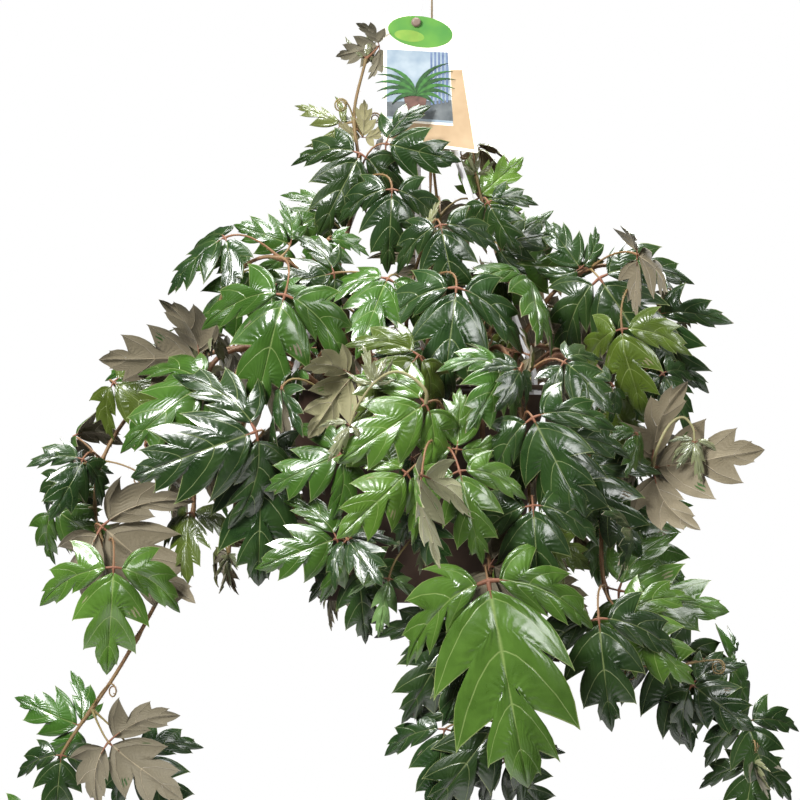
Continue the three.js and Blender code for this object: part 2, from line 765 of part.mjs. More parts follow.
// The least distance between two lines, each looked at in a few places along it.
function distanceBetween(one, two) {
  let least = Infinity;
  const d = minus(two.to, two.from);
  for (let i = 0; i <= 4; i++) {
    const spot = mix(one.from, one.to, i / 4);
    const share = Math.min(1, Math.max(0, dot(minus(spot, two.from), d) / dot(d, d)));
    const away = minus(spot, mix(two.from, two.to, share));
    least = Math.min(least, Math.sqrt(dot(away, away)));
  }
  return least;
}

function meet(one, two) {
  const apart = minus(one.centre, two.centre);
  if (Math.sqrt(dot(apart, apart)) > one.radius + two.radius) return false;
  const related = one.owner === two.owner;
  const through = (from, to) =>
    (related ? from.edges : from.lines).some((line) => to.faces.some((face) => pierces(line, face)));
  if (through(one, two) || through(two, one)) return true;
  if (related) return false;
  return one.tubes.some((a) =>
    two.tubes.some((b) => distanceBetween(a, b) < a.radius + b.radius + TUBE_CLEAR),
  );
}

// Whether a point lies in the pot or the soil, or too near to them.
function nearPot([x, y, z]) {
  if (z > POT.rim + ROOM.pot || z < POT_BOTTOM - ROOM.pot) return false;
  const share = Math.min(1, Math.max(0, (z - POT_BOTTOM) / POT.height));
  const wall = THREE.MathUtils.lerp(POT.baseRadius, POT.wallRadius, share);
  const radius = z > POT.rim - POT.flange - ROOM.pot ? POT.rimRadius : wall;
  return Math.hypot(x, y) < radius + ROOM.pot;
}

const LEAFY_FROM = 0.34; // the share of a stem below which no leaf grows, unless the stem says so

// A stem's nodes from its root to its tip, along three.js's uniform Catmull-Rom curve.
function stemNodes({ root, route }) {
  const start = [-STEM_DEPTH, -6, 10].map((rise) => [...root, SOIL_TOP + rise]);
  const bends = [...start, ...route];
  const spans = bends.slice(1).map((bend, i) => Math.hypot(...minus(bend, bends[i])));
  const count = Math.round(spans.reduce((sum, span) => sum + span) / STEM_STEP);
  const points = bends.map((point) => new THREE.Vector3(...point));
  const curve = new THREE.CatmullRomCurve3(points, false, "catmullrom", 0.5);
  return Array.from({ length: count + 1 }, (_, i) => curve.getPoint(i / count).toArray());
}

function nearestNode(nodes, spot) {
  const first = Math.ceil(LEAFY_FROM * (nodes.length - 1));
  let best = first;
  for (let i = first; i < nodes.length; i++) {
    const now = minus(nodes[i], spot);
    const then = minus(nodes[best], spot);
    if (dot(now, now) < dot(then, then)) best = i;
  }
  return best;
}

// How a leaf that follows the rule sits: how far out, sideways and up from its node, how far it turns
// and splays to its side, and how its tip nods, from low on the plant to high up.
const RULE = { out: [14, 26], aside: 15, up: 8, turn: 14, splay: 34, nod: [14, 48], lowest: -30, span: 70 };

// The leaves that follow the rule: in turn on either side of the stem, hanging outwards and down.
function ruledLeaf(nodes, leafyFrom, index, count, draw) {
  const share = leafyFrom + 0.04 + ((0.96 - leafyFrom) * (index + 0.5)) / count;
  const node = Math.min(nodes.length - 1, Math.round(share * (nodes.length - 1)));
  const [x, y, z] = nodes[node];
  const azimuth = (Math.atan2(y, x) * 180) / Math.PI;
  const side = index % 2 ? 1 : -1;
  const outward = [Math.cos(degrees(azimuth)), Math.sin(degrees(azimuth)), 0];
  const rightward = [-outward[1], outward[0], 0];
  const between = ([low, high], share) => low + (high - low) * share;
  const reach = between(RULE.out, draw());
  const at = moved([x, y, z], [outward, reach], [rightward, side * RULE.aside], [[0, 0, 1], RULE.up]);
  const full = between(MORE_LENGTH, draw());
  const length = index === count - 1 && count > 2 ? YOUNG_LENGTH : full;
  const high = Math.min(1, Math.max(0, (z - POT.rim - RULE.lowest) / RULE.span));
  const angles = [azimuth + side * RULE.turn, -90 + side * RULE.splay, between(RULE.nod, high), 0];
  return { pose: [...at, ...angles, length], node };
}

// Every stem's leaves, each with its place, its axes and its stalk.
function growLeaves(stems) {
  const things = [];
  const nodesOf = stems.map(stemNodes);
  nodesOf.forEach((nodes, owner) => {
    for (let i = 2; i < nodes.length; i++) {
      const points = [nodes[i - 1], mix(nodes[i - 1], nodes[i], 0.5), nodes[i]];
      const radius = STEM_RADIUS.root;
      things.push(thing(owner, [], tubeLines(points, radius + ROOM.stem), tubeSegments(points, radius)));
    }
  });
  for (const azimuth of ARM_AZIMUTHS) {
    const { profile, turn } = armRoute(azimuth);
    const bends = profile.map(([radius, height]) => [turn.x * radius, turn.y * radius, height]);
    for (let i = 1; i < bends.length; i++)
      for (let part = 0; part < 8; part++) {
        const points = [part, part + 1].map((k) => mix(bends[i - 1], bends[i], k / 8));
        const reach = ARM_STRIP.width / 2 + ROOM.arm;
        things.push(thing(-1, [], tubeLines(points, reach), tubeSegments(points, reach)));
      }
  }
  const shank = [[0, 0, HUB.bottom], [0, 0, HUB.top + 26]];
  things.push(thing(-1, [], tubeLines(shank, HUB.radius + ROOM.hub), tubeSegments(shank, HUB.radius)));
  const lean = Math.tan(degrees(TAG.lean));
  const depth = TAG.back - TAG.thick / 2;
  const corners = TAG_CORNERS.map(([x, z]) => [x, depth + z * lean, z + TAG.studHeight]);
  const [a, b, c, d] = corners;
  const rims = [[a, b], [b, c], [c, d], [d, a]].flatMap((rim) => tubeLines(rim, ROOM.tag));
  things.push(thing(-1, [[a, b, c], [a, c, d]], rims, []));

  const grown = stems.map(() => []);
  const place = (owner, node, pose, stray, seed, steady) => {
    const draw = drawFrom(seed);
    for (let turn = 0; turn < TRIES; turn++) {
      const growth = turn / TRIES;
      const reach = steady ? growth : 0.35 + 0.65 * growth;
      const tried = pose.map((value, i) => value + (stray[i] ?? 0) * reach * (2 * draw() - 1));
      const length = pose[7] * (1 - 0.3 * growth);
      const leaf = { at: tried.slice(0, 3), length, plan: planFor(length) };
      Object.assign(leaf, leafAxes(tried[3], tried[4], tried[5], tried[6]));
      leaf.stalk = stalkPoints(nodesOf[owner][node], leaf);
      const own = leafThing(owner, leaf, leaf.stalk);
      const spots = [...own[0].faces.flat(), ...leaf.stalk.slice(1)];
      if (spots.some(nearPot)) continue;
      if (things.some((other) => own.some((part) => meet(part, other)))) continue;
      things.push(...own);
      grown[owner].push(leaf);
      return;
    }
  };
  stems.forEach(({ leaves }, owner) =>
    leaves.forEach(([x, y, z, aim, nod, face, length], index) => {
      const pose = [x, y, z, FRONT, aim, nod, face, length];
      const node = nearestNode(nodesOf[owner], pose);
      place(owner, node, pose, STRAY_PLACED, 1 + 97 * owner + 13 * index, true);
    }),
  );
  stems.forEach(({ more, leafyFrom = LEAFY_FROM }, owner) => {
    for (let index = 0; index < more; index++) {
      const seed = 5000 + 101 * owner + 17 * index;
      const { pose, node } = ruledLeaf(nodesOf[owner], leafyFrom, index, more, drawFrom(seed + 7));
      place(owner, node, pose, STRAY_MORE, seed, false);
    }
  });
  return { nodesOf, grown };
}

// ---------- the leafy stems: their solids ----------

// A tube with few sides that gets thinner along its points.
function taperedTube(points, startRadius, endRadius, sides) {
  const spots = [];
  const faces = [];
  let normal = null;
  points.forEach((point, i) => {
    const before = points[Math.max(0, i - 1)];
    const after = points[Math.min(points.length - 1, i + 1)];
    const along = unit(minus(after, before));
    const guide = normal ?? (Math.abs(along[2]) < 0.9 ? [0, 0, 1] : [1, 0, 0]);
    normal = unit(moved(guide, [along, -dot(guide, along)]));
    const other = cross(along, normal);
    const radius = startRadius + ((endRadius - startRadius) * i) / (points.length - 1);
    for (let k = 0; k < sides; k++) {
      const turn = (2 * Math.PI * k) / sides;
      spots.push(...moved(point, [normal, radius * Math.cos(turn)], [other, radius * Math.sin(turn)]));
    }
  });
  for (let i = 0; i < points.length - 1; i++)
    for (let k = 0; k < sides; k++) {
      const a = i * sides + k;
      const b = i * sides + ((k + 1) % sides);
      faces.push(a, b, b + sides, a, b + sides, a + sides);
    }
  const last = (points.length - 1) * sides;
  for (let k = 1; k < sides - 1; k++) faces.push(0, k + 1, k, last, last + k, last + k + 1);
  const geometry = new THREE.BufferGeometry();
  geometry.setAttribute("position", new THREE.Float32BufferAttribute(spots, 3));
  geometry.setIndex(faces);
  return solidOf(geometry);
}

// One thin arched blade, with the plan's faces above and below and a wall round its edge, and its
// stalk, a square tube that grows out of the heel.
function leafSolid(leaf) {
  const { points, loop, faces } = PLANS[leaf.plan];
  const half = BLADE_THICK / 2;
  const above = points.flatMap((point) => worldPoint(leaf, point, 1, half));
  const below = points.flatMap((point) => worldPoint(leaf, point, 1, -half));
  const count = points.length;
  const corners = faces.flatMap(([a, b, c]) => [a, b, c, a + count, c + count, b + count]);
  loop.slice(1).forEach((b, i) => {
    const a = loop[i];
    corners.push(a, a + count, b + count, a, b + count, b);
  });
  const left = loop.at(-1);
  const right = loop[0];
  let ring = [left, left + count, right + count, right];
  const stalk = [];
  let upper = leaf.upper;
  for (let i = leaf.stalk.length - 2; i >= 0; i--) {
    const centre = leaf.stalk[i];
    const along = unit(minus(leaf.stalk[Math.max(0, i - 1)], leaf.stalk[i + 1]));
    upper = unit(moved(upper, [along, -dot(upper, along)]));
    const across = cross(along, upper);
    const next = [[1, 1], [1, -1], [-1, -1], [-1, 1]].map(([a, b], k) => {
      stalk.push(...moved(centre, [across, a * STALK_HALF], [upper, b * STALK_HALF]));
      return 2 * count + stalk.length / 3 - 1;
    });
    ring.forEach((a, k) => {
      const b = ring[(k + 1) % 4];
      corners.push(a, b, next[(k + 1) % 4], a, next[(k + 1) % 4], next[k]);
    });
    ring = next;
  }
  corners.push(ring[0], ring[1], ring[2], ring[0], ring[2], ring[3]);
  const spots = [...above, ...below, ...stalk];
  const geometry = new THREE.BufferGeometry();
  geometry.setAttribute("position", new THREE.Float32BufferAttribute(spots, 3));
  geometry.setIndex(corners);
  return solidOf(geometry);
}

function leafySolid(nodes, leaves) {
  const slim = leaves.length ? 1 : BARE_STEM;
  const stem = taperedTube(nodes, STEM_RADIUS.root * slim, STEM_RADIUS.tip * slim, 4);
  return largestBody(joined([stem, ...leaves.map(leafSolid)]));
}

// ---------- the assembly ----------

const plastic = (color, roughness) => new THREE.MeshStandardMaterial({ color, roughness, metalness: 0 });
const POT_PLASTIC = plastic(0x4a342a, 0.5);
const HANGER_PLASTIC = plastic(0xf2f1f4, 0.4);
const CARD = plastic(0xf4f1ea, 0.6);
const STUD_PLASTIC = plastic(0x7c6a5e, 0.45);
const PEAT = plastic(0x35261c, 0.95);
const LEAF_GREENS = [0x2a5226, 0x376628, 0x4a7c2c].map((color) => plastic(color, 0.4));

const plant = new THREE.Group();

function addPiece(name, solid, material) {
  const piece = new THREE.Mesh(geometryOf(solid), material);
  piece.name = name;
  plant.add(piece);
  return piece;
}

addPiece("pot", pot(), POT_PLASTIC);
addPiece("soil", soil(STEMS.map(({ root }) => root)), PEAT);
addPiece("hanger_hook", hangerHook(), HANGER_PLASTIC);
ARM_AZIMUTHS.forEach((azimuth, i) => addPiece(`hanger_arm_${i + 1}`, armWithFoot(azimuth), HANGER_PLASTIC));
const tag = addPiece("tag", tagCard(), CARD);
tag.position.set(0, TAG.back, TAG.studHeight);
tag.rotation.x = -degrees(TAG.lean);
addPiece("tag_stud", tagStud(), STUD_PLASTIC);

const { nodesOf, grown } = growLeaves(STEMS);
STEMS.forEach(({ name }, i) => {
  addPiece(`vine_${name}`, leafySolid(nodesOf[i], grown[i]), LEAF_GREENS[i % LEAF_GREENS.length]);
});

export default plant;
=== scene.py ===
# %% [markdown]
# # Grape ivy in a hanging pot
# A climbing houseplant with three-part, deeply lobed, glossy leaves on hairy stems. The solids give
# the pot, its hanger and where every leaf grows. These cells dress them: each stem gets blades with
# veins and quilting, round stalks, hairs, tendrils and young tips, and the plain parts get their
# finish. All sizes are millimetres until a mesh is made, where MM turns them into metres.

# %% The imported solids
import json
import math
import bmesh
import bpy
import numpy as np
from mathutils import Matrix, Vector, noise
from mathutils.bvhtree import BVHTree
from mathutils.kdtree import KDTree

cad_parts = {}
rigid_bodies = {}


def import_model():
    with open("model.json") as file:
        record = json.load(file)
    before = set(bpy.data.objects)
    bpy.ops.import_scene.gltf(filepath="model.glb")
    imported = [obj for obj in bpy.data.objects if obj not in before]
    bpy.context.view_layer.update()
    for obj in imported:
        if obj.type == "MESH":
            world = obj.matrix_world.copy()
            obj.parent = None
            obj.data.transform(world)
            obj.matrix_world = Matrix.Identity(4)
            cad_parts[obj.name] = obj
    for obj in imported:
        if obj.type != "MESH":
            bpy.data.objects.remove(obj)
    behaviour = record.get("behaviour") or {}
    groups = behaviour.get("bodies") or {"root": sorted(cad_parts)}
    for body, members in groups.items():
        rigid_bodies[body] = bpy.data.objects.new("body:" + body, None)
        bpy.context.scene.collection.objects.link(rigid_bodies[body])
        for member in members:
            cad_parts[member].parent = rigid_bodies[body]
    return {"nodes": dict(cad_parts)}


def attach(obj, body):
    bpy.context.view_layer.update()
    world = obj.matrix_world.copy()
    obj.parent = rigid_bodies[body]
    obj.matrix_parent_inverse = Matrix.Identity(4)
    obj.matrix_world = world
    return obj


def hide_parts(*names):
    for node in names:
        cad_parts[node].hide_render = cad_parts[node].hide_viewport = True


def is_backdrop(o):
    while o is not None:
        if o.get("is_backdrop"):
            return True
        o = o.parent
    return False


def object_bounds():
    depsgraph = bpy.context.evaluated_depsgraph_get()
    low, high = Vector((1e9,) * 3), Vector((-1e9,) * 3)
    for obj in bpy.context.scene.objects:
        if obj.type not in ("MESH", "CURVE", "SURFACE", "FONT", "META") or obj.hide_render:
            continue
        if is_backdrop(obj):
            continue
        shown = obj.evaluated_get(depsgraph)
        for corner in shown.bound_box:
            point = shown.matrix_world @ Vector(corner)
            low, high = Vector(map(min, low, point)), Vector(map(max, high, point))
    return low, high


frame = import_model()
solids_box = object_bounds()
MM = 0.001
scene = bpy.context.scene
print("solids:", len(frame["nodes"]), "box", [tuple(round(v, 3) for v in c) for c in solids_box])

# %% [markdown]
# ## Helpers for every finish
# Colours are chosen as sRGB hex values, as on a colour card, but shaders work with linear light, so
# one function turns one into the other. Another adds a node with its settings and its links, which
# keeps each recipe below down to one line a node. Patterns take their sizes from real millimetres.

# %% Colours and nodes
def linear(hex_colour):
    """A colour such as "#2c5530" as linear red, green, blue and alpha."""
    parts = [int(hex_colour[i:i + 2], 16) / 255 for i in (1, 3, 5)]
    return tuple(p / 12.92 if p <= 0.04045 else ((p + 0.055) / 1.055) ** 2.4 for p in parts) + (1.0,)


def fill(tree, node, inputs):
    """Fills each input with a value or a link."""
    for name, value in inputs.items():
        if isinstance(value, bpy.types.NodeSocket):
            tree.links.new(value, node.inputs[name])
        else:
            node.inputs[name].default_value = value


def add_node(tree, kind, inputs=None, **settings):
    """Adds a node, sets its properties and fills its inputs."""
    node = tree.nodes.new(kind)
    for name, value in settings.items():
        setattr(node, name, value)
    fill(tree, node, inputs or {})
    return node


def result_of(tree, kind, inputs=None, **settings):
    """The first result of a new node."""
    return add_node(tree, kind, inputs, **settings).outputs[0]


def new_material(name):
    """An empty material with a Principled shader wired to its output."""
    material = bpy.data.materials.new(name)
    material.use_nodes = True
    tree = material.node_tree
    return material, tree, tree.nodes["Principled BSDF"]


def ramp(tree, factor, stops):
    """A colour ramp from (position, hex colour) stops."""
    node = add_node(tree, "ShaderNodeValToRGB", {"Fac": factor})
    elements = node.color_ramp.elements
    while len(elements) < len(stops):
        elements.new(0.5)
    for element, (position, colour) in zip(elements, stops):
        element.position = position
        element.color = linear(colour)
    return node.outputs["Color"]


def math_of(tree, operation, a, b=0.0, c=0.0, clamp=False):
    """The result of one Math node."""
    settings = {"operation": operation, "use_clamp": clamp}
    return result_of(tree, "ShaderNodeMath", {0: a, 1: b, 2: c}, **settings)


def blend_of(tree, factor, a, b, blend_type="MIX"):
    """Two colours mixed."""
    settings = {"data_type": "RGBA", "blend_type": blend_type}
    return add_node(tree, "ShaderNodeMix", {0: factor, 6: a, 7: b}, **settings).outputs[2]


def object_spots(tree):
    """Where a point is on the object, in metres."""
    return add_node(tree, "ShaderNodeTexCoord").outputs["Object"]


def noise_of(tree, size_mm, detail=2.0):
    """Soft irregular patches of a size."""
    inputs = {"Vector": object_spots(tree), "Scale": 1 / MM / size_mm, "Detail": detail}
    return result_of(tree, "ShaderNodeTexNoise", inputs)


def patches_of(tree, field, gain, shift):
    """Clear patches out of a soft field, from 0 to 1."""
    return math_of(tree, "MULTIPLY_ADD", field, gain, shift, clamp=True)


def tinted(tree, base, field, share, colour):
    """A colour with a share of another one where a field is high."""
    return blend_of(tree, math_of(tree, "MULTIPLY", field, share), base, colour)


def bumps_of(tree, *layers):
    """Small reliefs on top of one another, each of (height, strength, depth in millimetres)."""
    below = {}
    for height, strength, depth_mm in layers:
        inputs = {"Height": height, "Strength": strength, "Distance": depth_mm * MM} | below
        below = {"Normal": result_of(tree, "ShaderNodeBump", inputs)}
    return below["Normal"]


def own_colour(tree, name):
    """The colour that a mesh brings as an attribute."""
    return add_node(tree, "ShaderNodeAttribute", attribute_name=name).outputs["Color"]


print("dark leaf green in linear light:", [round(v, 3) for v in linear("#1f3d22")])

# %% [markdown]
# ## Helpers for every shape
# Stems, stalks, strips and round corners are all smooth curves, so the two usual curves are written
# down once. A quadratic curve bends towards one middle point. A cubic one leaves and arrives in given
# directions.

# %% Curves, meshes and objects
def unit(way):
    """The direction with length one."""
    return way / np.linalg.norm(way)


def between(limits, share):
    """The value at a share of the way from one limit to the other."""
    return limits[0] + (limits[1] - limits[0]) * share


def bent(start, bend, end, t):
    """The point at a share of a quadratic curve."""
    return (1 - t)**2 * start + 2 * t * (1 - t) * bend + t**2 * end


def cubic(start, leave, end, arrive, s):
    """The point at a share of a cubic curve with a direction at each end."""
    return ((2 * s**3 - 3 * s**2 + 1) * start + (s**3 - 2 * s**2 + s) * leave
            + (3 * s**2 - 2 * s**3) * end + (s**3 - s**2) * arrive)


def mesh_from(name, bm):
    """The mesh of a bmesh that is done with."""
    mesh = bpy.data.meshes.new(name)
    bm.to_mesh(mesh)
    bm.free()
    return mesh


def placed(name, data):
    """A new object in the scene."""
    thing = bpy.data.objects.new(name, data)
    scene.collection.objects.link(thing)
    return thing


print("halfway along a bend:", bent(0, 1, 0, 0.5))

# %% [markdown]
# ## Camera, light and floor
# The plant hangs at eye height, so the camera looks at it level, from 2.5 m away, which keeps the
# leaves in front from looking larger than those behind. Big soft lamps give the glossy leaves their
# broad white highlights. The floor lies well below, out of the picture from the front.

# %% Camera, light and floor
VIEW = {"width": 480, "centre_x": -9.6, "centre_z": -276, "distance": 2500}
camera_data = bpy.data.cameras.new("camera")
camera_data.angle = 2 * math.atan(VIEW["width"] / 2 / VIEW["distance"])
camera = placed("camera", camera_data)
camera.location = (VIEW["centre_x"] * MM, -VIEW["distance"] * MM, VIEW["centre_z"] * MM)
camera.rotation_euler = (math.radians(90), 0, 0)
scene.camera = camera
scene.view_settings.view_transform = "Standard"


def add_softbox(name, place, size, watts):
    """A square area lamp at a place in metres that points at the middle of the plant."""
    data = bpy.data.lights.new(name, "AREA")
    data.size = size
    data.energy = watts
    lamp = placed(name, data)
    lamp.location = place
    aim = Vector((0, 0, VIEW["centre_z"] * MM)) - lamp.location
    lamp.rotation_euler = aim.to_track_quat("-Z", "Y").to_euler()


LAMPS = {
    "key_lamp": ((-1.3, -1.8, 0.9), 0.7, 112), "fill_lamp": ((1.5, -1.9, 0.1), 0.9, 28),
    "top_lamp": ((0.2, 0.1, 1.7), 0.9, 72), "rear_lamp": ((0.8, 2.0, 0.6), 1.2, 30),
}
for lamp_name, settings in LAMPS.items():
    add_softbox(lamp_name, *settings)

# The room looks white to the camera, but lights the plant much less than the lamps do, so that the
# leaves keep dark gaps between them.
ROOM_LIGHT = 0.06
world = bpy.data.worlds.new("studio")
world.use_nodes = True
tree = world.node_tree
seen_or_lit = add_node(tree, "ShaderNodeLightPath").outputs["Is Camera Ray"]
brightness = math_of(tree, "MULTIPLY_ADD", seen_or_lit, 1 - ROOM_LIGHT, ROOM_LIGHT)
background = tree.nodes["Background"]
background.inputs["Color"].default_value = (1, 1, 1, 1)
tree.links.new(brightness, background.inputs["Strength"])
scene.world = world

FLOOR_Z = -1.9  # the hook hangs about as high as in a room
FLOOR_HALF = 1.1
floor_mesh = bpy.data.meshes.new("floor")
floor_corners = [(x * FLOOR_HALF, y * FLOOR_HALF, FLOOR_Z) for x, y in ((-1, -1), (1, -1), (1, 1), (-1, 1))]
floor_mesh.from_pydata(floor_corners, [], [(0, 1, 2, 3)])
floor = placed("floor", floor_mesh)
floor_paint, tree, shader = new_material("pale matt studio floor")
fill(tree, shader, {"Base Color": linear("#efeeec"), "Roughness": 0.8})
floor_mesh.materials.append(floor_paint)
floor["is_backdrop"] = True
print("camera angle", round(math.degrees(camera_data.angle), 2), "floor at", FLOOR_Z)

# %% [markdown]
# ## Where the stems grow
# Each stem is a row: where it roots in the soil, the points it grows past, and its leaves. A leaf is
# the point where its three leaflets meet, its aim seen from the front, how far its tip nods towards
# the viewer, how its face is turned (180 shows the underside), the length of its end leaflet, and its
# look. Young growth is bright and yellowish, old leaves are nearly black-green.

# %% Stems and leaves of the front
STEMS = [
    {"name": "climber_left", "root": (-22, -14), "more": 0,
     "route": [(-44, -34, -235), (-46, -34, -200), (-38, -30, -165), (-34, -26, -138), (-37, -14, -105),
               (-30, -7, -72)],
     "leaves": [(-17, -30, -126, -22, 6, 0, 52, "dark"), (-33, -42, -131, -118, 8, 0, 56, "dark"),
                (-14, -56, -153, -92, 8, 0, 50, "dark"), (-22, -5, -64, 192, 0, 170, 27, "taupe"),
                (-45, -16, -112, 150, 0, 20, 30, "young"), (-33, -12, -120, 85, 0, 160, 25, "pale"),
                (-52, -38, -170, -140, 10, 0, 44, "middle")]},
    {"name": "climber_right", "root": (24, -10), "more": 1,
     "route": [(44, -20, -235), (50, -18, -200), (42, -12, -170), (36, -4, -142)],
     "leaves": [(38, -6, -154, 42, 0, 0, 36, "lime"), (41, -42, -158, -62, 8, 10, 38, "dark"),
                (49, -24, -184, 12, 8, 0, 36, "dark"), (56, -16, -194, -8, 6, 10, 50, "middle")]},
    {"name": "shoot", "root": (6, 8), "more": 0,
     "route": [(8, 9, -200), (9, 8, -120), (9.5, 7, -60), (9.6, 6, -30)]},
    {"name": "climber_back", "root": (4, 30), "more": 5, "leafy_from": 0.46,
     "route": [(22, 52, -235), (18, 44, -200), (14, 32, -165), (10, 22, -130)]},
    {"name": "crown_front", "root": (-2, -34), "more": 1,
     "route": [(-6, -46, -235), (-2, -54, -205), (6, -50, -180)],
     "leaves": [(23, -94, -211, -97, 14, 0, 66, "dark"), (-48, -70, -202, 192, 8, 0, 42, "dark"),
                (14, -74, -174, -78, 10, 0, 48, "dark")]},
    {"name": "arch_left", "root": (-46, -20), "more": 1,
     "route": [(-60, -44, -230), (-66, -54, -202), (-88, -56, -192), (-110, -54, -206), (-120, -50, -235)],
     "leaves": [(-76, -100, -214, -100, 8, 0, 76, "middle"), (-95, -44, -199, -124, 6, 0, 52, "middle"),
                (-127, -56, -252, 178, 0, 172, 58, "taupe"), (-74, -44, -184, 160, 4, 0, 36, "middle")]},
    {"name": "left_low", "root": (-56, -12), "more": 1,
     "route": [(-84, -24, -252), (-102, -50, -254), (-108, -74, -278), (-104, -86, -308)],
     "leaves": [(-122, -92, -268, -142, 8, 30, 68, "middle"), (-92, -116, -294, -160, 10, 0, 74, "dark"),
                (-89, -98, -304, -92, 6, 0, 78, "dark")]},
    {"name": "front_left", "root": (-24, -44), "more": 1,
     "route": [(-36, -66, -246), (-44, -88, -256), (-46, -98, -290), (-40, -102, -330), (-36, -98, -362)],
     "leaves": [(-37, -100, -262, -130, 8, 165, 46, "pale"), (-42, -124, -306, 200, 8, 10, 52, "middle"),
                (-45, -116, -354, -156, 12, 0, 52, "middle"), (-34, -108, -374, -88, 4, 0, 54, "dark")]},
    {"name": "front_middle", "root": (4, -54), "more": 1,
     "route": [(8, -74, -250), (10, -94, -258), (12, -102, -285), (12, -104, -316), (4, -106, -350)],
     "leaves": [(5, -140, -278, -146, 14, 0, 58, "bright"), (26, -138, -306, 78, -6, 0, 50, "bright"),
                (24, -146, -316, -76, 14, 0, 52, "bright"), (-6, -136, -317, -138, 12, 0, 56, "bright"),
                (2, -166, -318, -94, 6, 118, 52, "pale"), (-16, -118, -378, -100, 6, 0, 34, "mint")]},
    {"name": "front_right", "root": (34, -42), "more": 1,
     "route": [(44, -62, -246), (54, -84, -252), (60, -92, -280), (64, -94, -315), (66, -92, -350)],
     "leaves": [(66, -126, -286, -62, 10, 0, 62, "dark"), (78, -102, -300, -66, 10, 0, 60, "dark"),
                (66, -130, -336, -86, 6, 0, 60, "dark"), (98, -80, -318, -56, 8, 0, 58, "dark")]},
    {"name": "trail_middle", "root": (16, -62), "more": 1,
     "route": [(30, -82, -250), (36, -98, -264), (38, -104, -300), (40, -106, -345), (42, -104, -380),
               (38, -98, -420), (36, -94, -460), (30, -90, -505), (24, -88, -535)],
     "leaves": [(40, -148, -378, -79, 10, 0, 116, "bright"), (44, -112, -372, -28, 0, 170, 58, "taupe"),
                (22, -102, -410, -120, 6, 0, 60, "dark"), (46, -104, -462, -127, 6, 0, 64, "dark"),
                (16, -94, -466, -98, 4, 0, 50, "dark"), (52, -84, -484, -60, 4, 0, 52, "dark"),
                (28, -94, -514, -104, 4, 0, 48, "dark")]},
    {"name": "arch_right", "root": (46, -6), "more": 1,
     "route": [(66, -12, -234), (86, -22, -208), (112, -26, -196), (136, -22, -206), (150, -16, -232)],
     "leaves": [(108, -42, -204, -56, 12, 0, 72, "dark"), (142, -26, -226, -68, 4, 45, 54, "dark"),
                # The olive look on the third leaf paints light that shines through it from behind.
                (116, -66, -238, -92, 4, 20, 62, "olive"), (97, -28, -198, 128, 4, 0, 36, "dark")]},
    {"name": "right_low", "root": (60, 6), "more": 1,
     "route": [(84, 4, -246), (108, -10, -256), (122, -30, -284), (128, -44, -308)],
     "leaves": [(136, -58, -314, 6, 4, 165, 78, "taupe"), (119, -56, -344, -48, 6, 0, 58, "middle"),
                # The olive look on the last leaf paints light that shines through it from behind.
                (112, -34, -268, -72, 8, 15, 60, "olive")]},
    {"name": "trail_right", "root": (58, -24), "more": 2,
     "route": [(84, -32, -250), (104, -50, -264), (110, -62, -300), (108, -68, -345), (110, -70, -385),
               (126, -66, -415), (150, -60, -434), (178, -54, -458), (198, -50, -488)],
     "leaves": [(118, -80, -386, -14, 6, 0, 68, "bright"), (119, -104, -400, -44, 8, 0, 56, "bright"),
                (102, -124, -403, -88, 4, 0, 74, "dark"), (143, -58, -424, -72, 4, 0, 62, "dark"),
                (161, -64, -442, -36, 6, 0, 46, "dark"), (194, -60, -466, -66, 4, 0, 52, "dark"),
                (198, -48, -492, -98, 4, 0, 44, "dark")]},
    {"name": "trail_left_high", "root": (-42, 16), "more": 1,
     "route": [(-84, 6, -246), (-128, -12, -250), (-166, -26, -280), (-186, -34, -312), (-190, -36, -340),
               (-184, -38, -364)],
     "leaves": [(-208, -28, -318, -60, 4, 0, 36, "dark"), (-214, -40, -340, -35, 4, 0, 44, "middle"),
                (-184, -64, -350, -42, -10, 170, 68, "taupe"), (-177, -92, -374, -82, 6, 0, 78, "bright"),
                (-152, -4, -258, -112, 0, 0, 48, "middle")]},
    {"name": "trail_left_low", "root": (-60, 10), "more": 0,
     "route": [(-92, -8, -246), (-120, -34, -254), (-130, -48, -296), (-132, -54, -348),
               (-148, -56, -386), (-176, -54, -436), (-206, -52, -480), (-220, -50, -512),
               (-216, -48, -540)],
     "leaves": [(-208, -60, -484, -96, 4, 0, 40, "dark"), (-180, -66, -476, -40, 4, 165, 56, "taupe"),
                (-164, -58, -484, -52, 4, 0, 50, "dark"), (-198, -46, -468, 158, 4, 0, 42, "middle"),
                (-226, -52, -520, -104, 4, 0, 46, "middle")]},
]
print("stems of the front:", len(STEMS), "with", sum(len(s.get("leaves", [])) for s in STEMS), "leaves")

# %% [markdown]
# Round the back the plant is less seen, so its stems follow one rule each: up over the rim, out to a
# shoulder and down, or up into the crown, at given directions round the pot.

# %% Stems of the back
BACK_STEMS = [
    ("back_1", 30, 56, -345, 4, 0.42), ("back_2", 52, 56, -370, 5, 0.42),
    ("back_3", 75, 56, -350, 5, 0.42), ("back_4", 101, 56, -375, 5, 0.42),
    ("back_5", 126, 56, -350, 5, 0.42), ("back_6", 152, 56, -370, 5, 0.42),
    ("back_trail_1", 63, 36, -452, 3, 0.66), ("back_trail_2", 114, 36, -396, 3, 0.62),
]
CROWN_STEMS = [("crown_back_left", 150, 3, 0.62), ("crown_back_right", 40, 3, 0.62)]
CROWN_ROOT = 26  # how far from the pot's axis they root


def round_point(azimuth, radius, height):
    """A point round the pot's axis."""
    turn = math.radians(azimuth)
    return (radius * math.cos(turn), radius * math.sin(turn), height)


